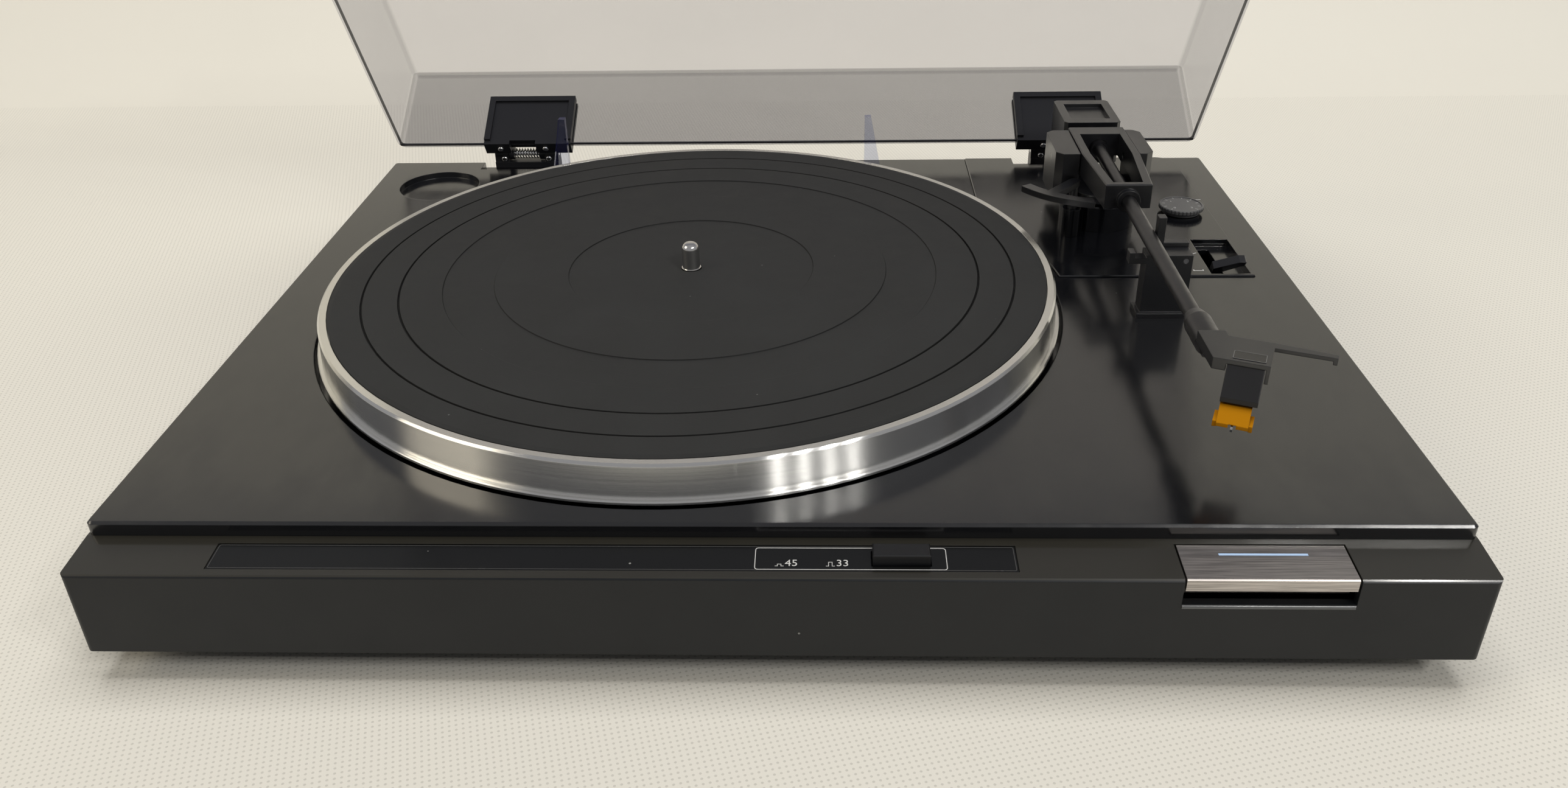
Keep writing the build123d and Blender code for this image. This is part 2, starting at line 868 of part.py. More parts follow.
# Spindle: shaft in the bearing and the domed pin above the mat
pin_top = mat_top + spindle_pin_rise
with BuildPart() as spindle:
    post(platter_x, platter_y, spindle_bottom, mat_top, spindle_radius)
    post(platter_x, platter_y, mat_top, pin_top, spindle_pin_radius)
    fillet(spindle.edges().filter_by(GeomType.CIRCLE).sort_by(Axis.Z)[-1], radius=0.8 * spindle_pin_radius)
save(spindle, "spindle")


# Return gearing: a pinion under the hub and a large cam gear with a toothless gap facing it
def gear_outline(teeth, x, y, phase, gap_teeth=0):
    """Involute tooth outline round a point; phase is a tooth's angle, and gap_teeth are left out about it."""
    pitch = gear_module * teeth / 2
    base = pitch * cos(radians(pressure_angle))
    root = pitch - 1.25 * gear_module
    outer = pitch + gear_module
    start = max(base, root)
    involute = tan(radians(pressure_angle)) - radians(pressure_angle)
    half_pitch = (pi * gear_module / 2 - gear_backlash) / (2 * pitch)
    flank = [start + (outer - start) * step / 4 for step in range(5)]
    spread = []
    for radius in flank:
        angle = acos(min(1, base / radius))
        spread.append(half_pitch + involute - (tan(angle) - angle))
    points = []
    for tooth in range(teeth):
        middle = radians(phase) + 2 * pi * tooth / teeth
        if min(tooth, teeth - tooth) <= (gap_teeth - 1) / 2:
            points.append((x + root * cos(middle), y + root * sin(middle)))
            continue
        rising = [(radius, -turn) for radius, turn in zip(flank, spread)]
        if start > root:
            rising = [(root, -spread[0])] + rising
        falling = [(radius, -turn) for radius, turn in reversed(rising)]
        points += [(x + r * cos(middle + turn), y + r * sin(middle + turn)) for r, turn in rising + falling]
    return points


gear_bottom = well_floor + bearing_floor + part_gap
with BuildPart() as hub_pinion:
    with BuildSketch(Plane.XY.offset(gear_bottom)):
        with BuildLine():
            Polyline(*gear_outline(pinion_teeth, platter_x, platter_y, cam_angle + 180 / pinion_teeth), close=True)
        make_face()
    extrude(amount=hub_bottom - gear_bottom)
    post(platter_x, platter_y, gear_bottom, hub_bottom, spindle_radius, Mode.SUBTRACT)
save(hub_pinion, "hub_pinion")

with BuildPart() as cam_gear:
    with BuildSketch(Plane.XY.offset(gear_bottom)):
        with BuildLine():
            Polyline(*gear_outline(cam_teeth, cam_x, cam_y, cam_angle + 180, missing_teeth), close=True)
        make_face()
    extrude(amount=gear_height)
    post(cam_x, cam_y, gear_bottom, gear_bottom + gear_height + cam_track_height, cam_track_radius)
    post(
        cam_x,
        cam_y,
        gear_bottom + gear_height,
        gear_bottom + gear_height + cam_track_height,
        cam_track_radius - cam_track_wall,
        Mode.SUBTRACT,
    )
    post(cam_x, cam_y, gear_bottom, gear_bottom + gear_height, cam_post_radius + fit_gap, Mode.SUBTRACT)
save(cam_gear, "cam_gear")

cam_post = turned(
    cam_x,
    cam_y,
    [
        (0, well_under),
        (cam_post_radius, well_under),
        (cam_post_radius, well_floor),
        (2 * cam_post_radius, well_floor),
        (2 * cam_post_radius, well_floor + bearing_floor),
        (cam_post_radius, well_floor + bearing_floor),
        (cam_post_radius, gear_bottom + gear_height + part_gap),
        (1.6 * cam_post_radius, gear_bottom + gear_height + part_gap),
        (1.6 * cam_post_radius, gear_bottom + gear_height + part_gap + edge_break),
        (0, gear_bottom + gear_height + part_gap + edge_break),
    ],
)
save(cam_post, "cam_post")

# Motor under the well floor, its bracket and grommets, pulley and flat belt
belt_middle = disc_bottom - belt_rim_drop / 2
pulley_bottom = belt_middle - pulley_height / 2
bracket_top = well_under - grommet_height
motor_top = bracket_top - bracket_thickness
motor_bottom = motor_top - motor_height
grommet_places = [
    (motor_x + x * (bracket_width / 2 - grommet_radius), motor_y + y * (bracket_depth / 2 - grommet_radius))
    for x in (-1, 1)
    for y in (-1, 1)
]
with BuildPart() as motor:
    post(motor_x, motor_y, motor_bottom, motor_top, motor_radius)
    chamfer(motor.edges().filter_by(GeomType.CIRCLE), length=edge_break)
    post(motor_x, motor_y, motor_bottom, motor_top, motor_shaft_radius + fit_gap, Mode.SUBTRACT)
save(motor, "motor")

with BuildPart() as motor_bracket:
    block(
        motor_x - bracket_width / 2,
        motor_x + bracket_width / 2,
        motor_y - bracket_depth / 2,
        motor_y + bracket_depth / 2,
        motor_top,
        bracket_top,
    )
    fillet(motor_bracket.edges().filter_by(Axis.Z), radius=grommet_radius)
    post(motor_x, motor_y, motor_top, bracket_top, motor_hole_radius, Mode.SUBTRACT)
save(motor_bracket, "motor_bracket")

with BuildPart() as motor_grommets:
    for x, y in grommet_places:
        post(x, y, bracket_top, well_under, grommet_radius)
save(motor_grommets, "motor_grommets")

with BuildPart() as motor_shaft:
    post(motor_x, motor_y, motor_bottom + wall, pulley_bottom + pulley_height, motor_shaft_radius)
save(motor_shaft, "motor_shaft")

pulley = turned(
    motor_x,
    motor_y,
    [
        (motor_shaft_radius, pulley_bottom),
        (pulley_radius, pulley_bottom),
        (pulley_radius + 1.0, pulley_bottom + 1.0),
        (pulley_radius + 1.0, pulley_bottom + 2.0),
        (pulley_radius, pulley_bottom + 2.5),
        (pulley_radius, pulley_bottom + pulley_height - 1.0),
        (pulley_radius - 1.0, pulley_bottom + pulley_height),
        (motor_shaft_radius, pulley_bottom + pulley_height),
    ],
)
save(pulley, "pulley")


def belt_face(gap):
    """The region inside a tight loop round the belt rim and the pulley, a gap outside them."""
    large = belt_rim_radius + gap
    small = pulley_radius + gap
    contact = degrees(acos((large - small) / motor_distance))
    ends = [(1, contact), (-1, -contact)]

    def at(middle, radius, turn):
        angle = radians(motor_angle + turn)
        return middle[0] + radius * cos(angle), middle[1] + radius * sin(angle)

    platter_axis = (platter_x, platter_y)
    motor_axis = (motor_x, motor_y)
    with BuildSketch(mode=Mode.PRIVATE) as loop:
        with BuildLine():
            for _, turn in ends:
                Line(at(platter_axis, large, turn), at(motor_axis, small, turn))
            ThreePointArc(
                at(platter_axis, large, contact), at(platter_axis, large, 180), at(platter_axis, large, -contact)
            )
            ThreePointArc(at(motor_axis, small, contact), at(motor_axis, small, 0), at(motor_axis, small, -contact))
        make_face()
    return loop.sketch.moved(Location((0, 0, belt_middle - belt_width / 2)))


belt_outside = belt_face(part_gap + belt_thickness)
belt_inside = belt_face(part_gap)
with BuildPart() as drive_belt:
    extrude(belt_outside, amount=belt_width)
    extrude(belt_inside, amount=belt_width, mode=Mode.SUBTRACT)
save(drive_belt, "drive_belt")

# Tonearm base: round housing, brass sleeve, and the yoke that turns in it
arm_base_top = panel_top + arm_base_height
swivel_top = arm_base_top + 2 * part_gap
sleeve_bottom = swivel_top - swivel_length
with BuildPart() as arm_base:
    post(arm_x, arm_y, panel_top, arm_base_top, arm_base_radius)
    chamfer(arm_base.edges().filter_by(GeomType.CIRCLE).sort_by(Axis.Z)[-1], length=2 * edge_break)
    post(lifter_x, lifter_y, panel_top, arm_base_top, lifter_boss_radius)
    web_top = arm_base_top - 4 * edge_break
    web_x, web_y = around_arm(lifter_post_at / 2, lifter_angle)
    with Locations(Location((web_x, web_y, (panel_top + web_top) / 2), (0, 0, -lifter_angle))):
        Box(lifter_boss_radius, lifter_post_at, web_top - panel_top)
    post(arm_x, arm_y, panel_top, arm_base_top, sleeve_radius + fit_gap, Mode.SUBTRACT)
    post(lifter_x, lifter_y, panel_top, arm_base_top, lifter_post_radius + fit_gap, Mode.SUBTRACT)
save(arm_base, "arm_base")

with BuildPart() as arm_sleeve:
    post(arm_x, arm_y, sleeve_bottom, arm_base_top, sleeve_radius)
    post(arm_x, arm_y, sleeve_bottom, arm_base_top, swivel_radius + fit_gap, Mode.SUBTRACT)
save(arm_sleeve, "arm_sleeve")

yoke_top = frame_top - edge_break
left_inner = frame_half_back + yoke_gap
with BuildPart() as yoke:
    post(arm_x, arm_y, swivel_top, swivel_top + yoke_plate, yoke_hub_radius)
    block(
        arm_x - yoke_left,
        arm_x + yoke_right,
        arm_y - yoke_ahead / 2,
        arm_y + yoke_ahead / 2,
        swivel_top,
        swivel_top + yoke_plate,
    )
    block(arm_x - yoke_left, arm_x - left_inner, arm_y - yoke_ahead, arm_y + yoke_behind, swivel_top, yoke_top)
    block(arm_x + left_inner, arm_x + yoke_right, arm_y - yoke_ahead, arm_y + yoke_behind, swivel_top, yoke_top)
    chamfer(yoke.edges().filter_by(Axis.Z).group_by(Axis.X)[0], length=3.0)
    chamfer(yoke.edges().filter_by(Axis.Z).group_by(Axis.X)[-1], length=3.0)
    bar_x(arm_x - yoke_left, arm_x + yoke_right, arm_y, tube_z, pivot_radius + fit_gap, Mode.SUBTRACT)
    post(arm_x, arm_y, swivel_top, swivel_top + yoke_plate, swivel_radius + fit_gap, Mode.SUBTRACT)
save(yoke, "yoke")

with BuildPart() as swivel_shaft:
    post(arm_x, arm_y, sleeve_bottom, swivel_top + yoke_plate, swivel_radius)
save(swivel_shaft, "swivel_shaft")

pivot_reach = frame_wall_side / 2
with BuildPart() as pivot_screws:
    bar_x(arm_x - yoke_left, arm_x - frame_half_back + pivot_reach, arm_y, tube_z, pivot_radius)
    bar_x(arm_x + frame_half_back - pivot_reach, arm_x + yoke_right, arm_y, tube_z, pivot_radius)
save(pivot_screws, "pivot_screws")

# Tapered arm frame with an open middle and a round collar, tube and counterweight
frame_back_y = arm_y + frame_behind
frame_front_y = arm_y - frame_ahead
kink_y = arm_y - frame_kink


def frame_outline(back, front, side):
    """Corners of the frame's plan, drawn in by its back, front and side walls."""
    half_back = frame_half_back - side
    half_front = frame_half_front - side
    return [
        (arm_x - half_back, frame_back_y - back),
        (arm_x - half_back, kink_y),
        (arm_x - half_front, frame_front_y + front),
        (arm_x + half_front, frame_front_y + front),
        (arm_x + half_back, kink_y),
        (arm_x + half_back, frame_back_y - back),
    ]


frame_body = plate(frame_outline(0, 0, 0), frame_bottom, frame_top)
frame_hole = plate(frame_outline(frame_wall_back, frame_wall_front, frame_wall_side), frame_bottom, frame_top)
tube_back_y = arm_y + tube_back
with BuildPart() as arm_frame:
    add(frame_body)
    chamfer(arm_frame.faces().sort_by(Axis.Z)[-1].edges(), length=edge_break / 2)
    add(frame_hole, mode=Mode.SUBTRACT)
    bar_y(arm_x, frame_front_y - collar_length, frame_front_y, tube_z, collar_radius)
    bar_y(
        arm_x,
        frame_front_y - collar_length,
        frame_front_y + frame_wall_front,
        tube_z,
        tube_radius + fit_gap,
        Mode.SUBTRACT,
    )
    bar_y(arm_x, frame_back_y - frame_wall_back, frame_back_y, tube_z, stub_radius + fit_gap, Mode.SUBTRACT)
    bar_x(
        arm_x - frame_half_back,
        arm_x - frame_half_back + frame_wall_side,
        arm_y,
        tube_z,
        pivot_radius + fit_gap,
        Mode.SUBTRACT,
    )
    bar_x(
        arm_x + frame_half_back - frame_wall_side,
        arm_x + frame_half_back,
        arm_y,
        tube_z,
        pivot_radius + fit_gap,
        Mode.SUBTRACT,
    )
save(arm_frame, "arm_frame")

ferrule_y = arm_y - ferrule_start
with BuildPart() as arm_tube:
    bar_y(arm_x, ferrule_y - ferrule_cone, tube_back_y, tube_z, tube_radius)
    bar_y(arm_x, ferrule_y - ferrule_cone, tube_back_y, tube_z, tube_radius - tube_wall, Mode.SUBTRACT)
save(arm_tube, "arm_tube")

weight_front_y = frame_back_y + weight_gap
weight_back_y = weight_front_y + weight_length
weight_middle_z = frame_top - weight_height / 2
with BuildPart() as weight_stub:
    bar_y(arm_x, tube_back_y, weight_front_y + weight_shell, tube_z, stub_radius)
save(weight_stub, "weight_stub")

with BuildPart() as counterweight:
    block(
        arm_x - weight_width / 2,
        arm_x + weight_width / 2,
        weight_front_y,
        weight_back_y,
        frame_top - weight_height,
        frame_top,
    )
    chamfer(counterweight.edges().filter_by(Axis.Z), length=2 * edge_break)
    block(
        arm_x - weight_width / 2 + 2 * weight_shell,
        arm_x + weight_width / 2 - 2 * weight_shell,
        weight_front_y + 3 * weight_shell,
        weight_back_y - 3 * weight_shell,
        frame_top - weight_shell,
        frame_top,
        Mode.SUBTRACT,
    )
    block(
        arm_x - slug_width / 2,
        arm_x + slug_width / 2,
        weight_back_y - weight_shell - slug_length,
        weight_back_y - weight_shell,
        weight_middle_z - slug_height,
        weight_middle_z,
        Mode.SUBTRACT,
    )
    bar_y(arm_x, weight_front_y, weight_front_y + weight_shell, tube_z, stub_radius + fit_gap, Mode.SUBTRACT)
save(counterweight, "counterweight")

with BuildPart() as balance_slug:
    block(
        arm_x - slug_width / 2 + fit_gap,
        arm_x + slug_width / 2 - fit_gap,
        weight_back_y - weight_shell - slug_length + fit_gap,
        weight_back_y - weight_shell - fit_gap,
        weight_middle_z - slug_height,
        weight_middle_z - fit_gap,
    )
save(balance_slug, "balance_slug")

# Ferrule and headshell with its finger lift
shell_forward = (-sin(radians(offset_angle)), -cos(radians(offset_angle)))
shell_across = (cos(radians(offset_angle)), -sin(radians(offset_angle)))


def shell_point(forward, right):
    """A plan point ahead of the stylus point and to its right, along the offset headshell."""
    return (
        arm_x + forward * shell_forward[0] + right * shell_across[0],
        stylus_y + forward * shell_forward[1] + right * shell_across[1],
    )


ferrule_plane = Plane((arm_x, ferrule_y, tube_z), x_dir=(1, 0, 0), z_dir=(0, -1, 0))
shell_under = shell_top - shell_plate
ferrule_flat = shell_under - part_gap / 10
with BuildPart() as ferrule:
    with BuildSketch(ferrule_plane):
        Circle(tube_radius + tube_wall)
    with BuildSketch(ferrule_plane.offset(ferrule_cone)):
        Circle(ferrule_radius)
    loft()
    bar_y(arm_x, ferrule_y - ferrule_length, ferrule_y - ferrule_cone, tube_z, ferrule_radius)
    bar_y(arm_x, ferrule_y - ferrule_cone, ferrule_y, tube_z, tube_radius + fit_gap, Mode.SUBTRACT)
    block(
        arm_x - 2 * ferrule_radius,
        arm_x + 2 * ferrule_radius,
        ferrule_y - 2 * ferrule_length,
        arm_y - shell_back + part_gap,
        ferrule_flat,
        tube_z + 2 * ferrule_radius,
        Mode.SUBTRACT,
    )
    block(
        arm_x - 2 * ferrule_radius,
        shell_point(-shell_front, -shell_left)[0] + shell_wall + part_gap,
        ferrule_y - 2 * ferrule_length,
        arm_y - shell_back + part_gap,
        tube_z - 2 * ferrule_radius,
        tube_z + 2 * ferrule_radius,
        Mode.SUBTRACT,
    )
save(ferrule, "ferrule")

shell_back_y = arm_y - shell_back
front_left = shell_point(-shell_front, -shell_left)
front_right = shell_point(-shell_front, shell_right)
lift_front = shell_point(-shell_front - shell_depth_right, shell_right)
lift_back = shell_point(-shell_front - shell_depth_right - lift_width, shell_right)
back_right = (arm_x + shell_back_right, shell_back_y)
back_left = (front_left[0], shell_back_y)
step_right = (back_right[0], lift_back[1] + (lift_back[0] - back_right[0]) * tan(radians(offset_angle)))
shell_plan = [front_left, front_right, lift_back, step_right, back_right, back_left]
lift_tip_front = shell_point(-shell_front - shell_depth_right, shell_right + lift_length)
lift_tip_back = shell_point(-shell_front - shell_depth_right - lift_tip_width, shell_right + lift_length)
skirt_plan = [
    front_left,
    shell_point(-shell_front, -cartridge_left - part_gap),
    shell_point(-shell_front - shell_wall, -cartridge_left - part_gap),
    (front_left[0] + shell_wall, shell_back_y),
    back_left,
]
cheek_plan = [
    shell_point(-shell_front, shell_right),
    shell_point(-shell_front - shell_wall, shell_right),
    shell_point(-shell_front - shell_wall, cartridge_right + part_gap),
    shell_point(-shell_front, cartridge_right + part_gap),
]
shell_body = plate(shell_plan, shell_under, shell_top)
shell_skirt_part = plate(skirt_plan, shell_top - shell_skirt, shell_under)
shell_cheek_part = plate(cheek_plan, shell_top - 1.6 * shell_skirt, shell_under)
lift_part = plate([lift_front, lift_tip_front, lift_tip_back, lift_back], shell_top - lift_thickness, shell_top)
hook_part = plate(
    [
        lift_tip_front,
        lift_tip_back,
        shell_point(-shell_front - shell_depth_right - lift_tip_width, shell_right + lift_length - lift_thickness),
        shell_point(-shell_front - shell_depth_right, shell_right + lift_length - lift_thickness),
    ],
    shell_top - lift_thickness - lift_hook,
    shell_top - lift_thickness,
)
with BuildPart() as headshell:
    add([shell_body, shell_skirt_part, shell_cheek_part, lift_part, hook_part])
save(headshell, "headshell")

# Cartridge, stylus holder and stylus: side outlines in (forward, height above the stylus point)
shell_side = Plane((arm_x, stylus_y, stylus_z), x_dir=(*shell_forward, 0), z_dir=(*shell_across, 0))
side_up = 1 if shell_side.y_dir.Z > 0 else -1
body_top = shell_under - stylus_z
holder_low = 1.2
holder_front_top = 2.4
holder_back_top = 6.4
nose_low = 7.4
nose_high = 9.1


def side_profile(corners, right_from, right_to):
    """A bar across the headshell whose side outline is given in (forward, height) corners."""
    with BuildPart() as piece:
        with BuildSketch(shell_side.offset(right_from)):
            with BuildLine():
                Polyline(*[(forward, side_up * height) for forward, height in corners], close=True)
            make_face()
        extrude(amount=right_to - right_from)
    return piece.part


cartridge_part = side_profile(
    [
        (-cartridge_back, body_top),
        (-shell_front - part_gap, body_top),
        (-cartridge_nose, nose_high),
        (-cartridge_nose, nose_low),
        (-cartridge_nose - 2.0, holder_back_top + fit_gap),
        (-cartridge_back + 5.0, holder_back_top + fit_gap),
        (-cartridge_back, nose_high),
    ],
    -cartridge_left,
    cartridge_right,
)
with BuildPart() as cartridge:
    add(cartridge_part)
save(cartridge, "cartridge")

holder_part = side_profile(
    [
        (-5.6, holder_back_top),
        (0.0, holder_front_top),
        (0.0, holder_low),
        (-3.0, holder_low),
        (-3.0, holder_front_top),
        (-14.0, holder_back_top - 1.6),
        (-14.0, holder_back_top),
    ],
    -stylus_half_width,
    stylus_half_width,
)
tab_corners = [(-7.0, holder_front_top + 0.6), (-0.6, holder_front_top + 0.2), (-0.6, 0.6), (-7.0, 1.6)]
left_tab = side_profile(tab_corners, -stylus_half_width - stylus_tab, -stylus_half_width)
right_tab = side_profile(tab_corners, stylus_half_width, stylus_half_width + stylus_tab)
holder_slot = side_profile([(-3.2, holder_front_top), (0.2, holder_front_top), (0.2, 0), (-3.2, 0)], -1.2, 1.2)
with BuildPart() as stylus_holder:
    add([holder_part, left_tab, right_tab])
    add(holder_slot, mode=Mode.SUBTRACT)
save(stylus_holder, "stylus_holder")

stylus_part = side_profile(
    [
        (-3.0, 2.2),
        (-3.0, 1.4),
        (-0.6, 0.9),
        (-0.25, 0.0),
        (0.15, 0.0),
        (0.3, 1.0),
        (-0.3, 1.7),
    ],
    -cantilever_radius,
    cantilever_radius,
)
with BuildPart() as stylus:
    add(stylus_part)
save(stylus, "stylus")

# Arm lifter: curved bar under the frame, radial arm and guide post
lifter_top = frame_bottom - lifter_gap
lifter_bottom = lifter_top - lifter_thickness
inner_arc = lifter_radius - lifter_width / 2
outer_arc = lifter_radius + lifter_width / 2
lifter_middle = (lifter_from + lifter_to) / 2
with BuildPart() as arm_lifter:
    with BuildSketch(Plane.XY.offset(lifter_bottom)):
        with BuildLine():
            ThreePointArc(
                around_arm(outer_arc, lifter_from), around_arm(outer_arc, lifter_middle), around_arm(outer_arc, lifter_to)
            )
            ThreePointArc(
                around_arm(inner_arc, lifter_from), around_arm(inner_arc, lifter_middle), around_arm(inner_arc, lifter_to)
            )
            Line(around_arm(outer_arc, lifter_from), around_arm(inner_arc, lifter_from))
            Line(around_arm(outer_arc, lifter_to), around_arm(inner_arc, lifter_to))
        make_face()
    extrude(amount=lifter_thickness)
    with BuildSketch(Plane.XY.offset(lifter_bottom)):
        reach = lifter_radius - lifter_post_at
        middle = around_arm(lifter_post_at + reach / 2, lifter_angle)
        with Locations(Location((*middle, 0), (0, 0, 90 - lifter_angle))):
            SlotCenterToCenter(reach, lifter_arm_width)
    extrude(amount=lifter_thickness)
    post(lifter_x, lifter_y, lifter_top - lifter_post_length, lifter_top, lifter_post_radius)
save(arm_lifter, "arm_lifter")

# Arm rest: flanged post, U-shaped head and the latch beside it
rest_floor = deck_top + rest_floor_rise
rest_head = rest_floor - rest_bar
rest_front_y = rest_y - rest_depth / 2
rest_rear_y = rest_y + rest_depth / 2
with BuildPart() as arm_rest:
    block(
        arm_x - rest_post_left - rest_flange_lip,
        arm_x + rest_right + rest_flange_lip,
        rest_front_y - rest_flange_lip,
        rest_rear_y + rest_flange_lip,
        deck_top,
        deck_top + rest_flange,
    )
    block(arm_x - rest_post_left, arm_x + rest_right, rest_front_y, rest_rear_y, deck_top, rest_head)
    block(arm_x - rest_post_left, arm_x + rest_right, rest_front_y, rest_rear_y, rest_head, rest_floor)
    hook_back = rest_front_y + rest_hook_depth
    hook_top = rest_head + rest_hook
    block(arm_x - rest_left, arm_x - rest_post_left, rest_front_y, hook_back, rest_head, hook_top)
    block(
        arm_x - rest_left,
        arm_x - rest_left + rest_prong,
        rest_front_y,
        hook_back,
        hook_top,
        hook_top + rest_prong_height,
    )
    bar_y(
        arm_x + rest_right - latch_boss_radius,
        rest_front_y,
        rest_rear_y,
        rest_floor - latch_boss_drop,
        latch_pin_radius + fit_gap,
        Mode.SUBTRACT,
    )
save(arm_rest, "arm_rest")

latch_x = arm_x + rest_right - latch_boss_radius
latch_z = rest_floor - latch_boss_drop
latch_y0 = rest_rear_y + part_gap
latch_y1 = latch_y0 + latch_depth
latch_bar_top = deck_top + latch_bar_rise
with BuildPart() as arm_latch:
    bar_y(latch_x, latch_y0, latch_y1, latch_z, latch_boss_radius)
    block(latch_x - latch_boss_radius, latch_x + latch_boss_radius, latch_y0, latch_y1, latch_z, latch_bar_top)
    block(arm_x + latch_gap, latch_x + latch_boss_radius, latch_y0, latch_y1, latch_bar_top - latch_bar, latch_bar_top)
    block(
        arm_x + latch_gap,
        arm_x + latch_gap + latch_finger,
        latch_y0,
        latch_y1,
        latch_bar_top - latch_bar,
        deck_top + latch_finger_rise,
    )
    bar_y(latch_x, latch_y0, latch_y1, latch_z, latch_pin_radius + fit_gap, Mode.SUBTRACT)
save(arm_latch, "arm_latch")

# Cue lever: a stem that leans in its slot, with a finger blade to the right, on a cross pin
cue_pivot_z = deck_top - cue_pivot_drop
cue_x0 = cue_slot_left + (cue_slot_width - cue_stem) / 2
cue_plane = Plane(
    (cue_x0, cue_pivot_y, cue_pivot_z),
    x_dir=(1, 0, 0),
    z_dir=(0, -sin(radians(cue_lean)), cos(radians(cue_lean))),
)
with BuildPart(cue_plane) as cue_lever:
    block(0, cue_stem, -cue_stem / 2, cue_stem / 2, 0, cue_reach - cue_blade_height)
    with BuildSketch(Plane(cue_plane.origin, x_dir=(1, 0, 0), z_dir=-cue_plane.y_dir)):
        with BuildLine():
            Polyline(
                (0, cue_reach - cue_blade_height),
                (0, cue_reach),
                (cue_blade - cue_tab, cue_reach + cue_blade_rise),
                (cue_blade, cue_reach + cue_blade_rise),
                (cue_blade, cue_reach + cue_blade_rise - cue_blade_height),
                (cue_blade - cue_tab / 2, cue_reach + cue_blade_rise - cue_blade_height),
                (cue_stem, cue_reach - cue_blade_height),
                close=True,
            )
        make_face()
    extrude(amount=cue_stem / 2, both=True)
    bar_x(0, cue_stem, 0, 0, cue_boss_radius)
    bar_x(0, cue_stem, 0, 0, cue_pin_radius + fit_gap, Mode.SUBTRACT)
    chamfer(cue_lever.faces().sort_by(Axis.X)[-1].edges(), length=edge_break)
save(cue_lever, "cue_lever")

# Pivot pins of the return key, the cue lever and the rest latch
with BuildPart() as pivot_pins:
    bar_x(key_left - 1.5 * key_rib, key_right + 1.5 * key_rib, key_pin_y, key_pin_z, key_pin_radius)
    bar_x(
        cue_slot_left - cue_bracket,
        cue_slot_left + cue_slot_width + cue_bracket,
        cue_pivot_y,
        cue_pivot_z,
        cue_pin_radius,
    )
    bar_y(latch_x, rest_front_y, latch_y1, latch_z, latch_pin_radius)
save(pivot_pins, "pivot_pins")

# Skating dial: a thin dished flange with a fluted rim on a neck, and a shaft through the deck
dial_bottom = panel_top + part_gap
dial_top = dial_bottom + dial_height
with BuildPart() as skating_dial:
    post(dial_x, dial_y, dial_bottom, dial_top - dial_flange, dial_neck_radius)
    post(dial_x, dial_y, dial_top - dial_flange, dial_top, dial_radius)
    chamfer(skating_dial.edges().filter_by(GeomType.CIRCLE).sort_by(Axis.Z)[-1], length=edge_break / 2)
    post(dial_x, dial_y, dial_top - dial_dish, dial_top, dial_radius - dial_rim, Mode.SUBTRACT)
    with Locations((dial_x, dial_y, dial_top - dial_flange / 2)):
        with PolarLocations(dial_radius, dial_flutes):
            Cylinder(flute_radius, dial_flange, mode=Mode.SUBTRACT)
    post(dial_x, dial_y, dial_bottom - dial_shaft_length, dial_bottom, dial_shaft_radius)
save(skating_dial, "skating_dial")

# Two clear upright posts behind the platter
with BuildPart() as clear_posts:
    for x, inward in ((post_left_x, 1), (post_right_x, -1)):
        with BuildSketch(Plane.XY.offset(deck_top)):
            with Locations((x, post_y)):
                Rectangle(post_foot, post_thickness)
        with BuildSketch(Plane.XY.offset(deck_top + post_height)):
            with Locations((x + inward * (post_foot - post_tip) / 2, post_y)):
                Rectangle(post_tip, post_thickness)
        loft()
save(clear_posts, "clear_posts")

# Lid, drawn closed in its own plane on the hinge axis and standing open
lid_plane = Plane(
    (0, hinge_y, hinge_z), x_dir=(1, 0, 0), z_dir=(0, sin(radians(lid_angle)), cos(radians(lid_angle)))
)
lid_axis = Axis((0, hinge_y, hinge_z), tuple(lid_plane.z_dir))
lid_rim = deck_top + lid_rim_gap - hinge_z
lid_back = back_y - lid_back_inset - hinge_y
lid_inner = lid_back - lid_wall
lid_front = lid_back - lid_depth
with BuildPart() as lid:
    with BuildSketch(lid_plane.offset(lid_rim)) as lid_outside:
        with Locations((0, (lid_back + lid_front) / 2)):
            Rectangle(lid_width, lid_depth)
        fillet(lid_outside.vertices(), radius=lid_corner)
    extrude(amount=lid_height)
    fillet(lid.faces().sort_by(lid_axis)[-1].edges(), radius=lid_wall)
    with BuildSketch(lid_plane.offset(lid_rim)) as lid_inside:
        with Locations((0, (lid_back + lid_front) / 2)):
            Rectangle(lid_width - 2 * lid_wall, lid_depth - 2 * lid_wall)
        fillet(lid_inside.vertices(), radius=lid_corner - lid_wall)
    extrude(amount=lid_height - lid_wall, mode=Mode.SUBTRACT)
save(lid, "lid")

with BuildPart(lid_plane) as lid_bumpers:
    for x in (-1, 1):
        for y in (lid_front + lid_corner + bumper_length, lid_front + 4 * bumper_length):
            rim_x = x * (lid_width - lid_wall) / 2
            block(
                rim_x - lid_wall / 2,
                rim_x + lid_wall / 2,
                y - bumper_length / 2,
                y + bumper_length / 2,
                lid_rim - bumper_height,
                lid_rim,
            )
save(lid_bumpers, "lid_bumpers")

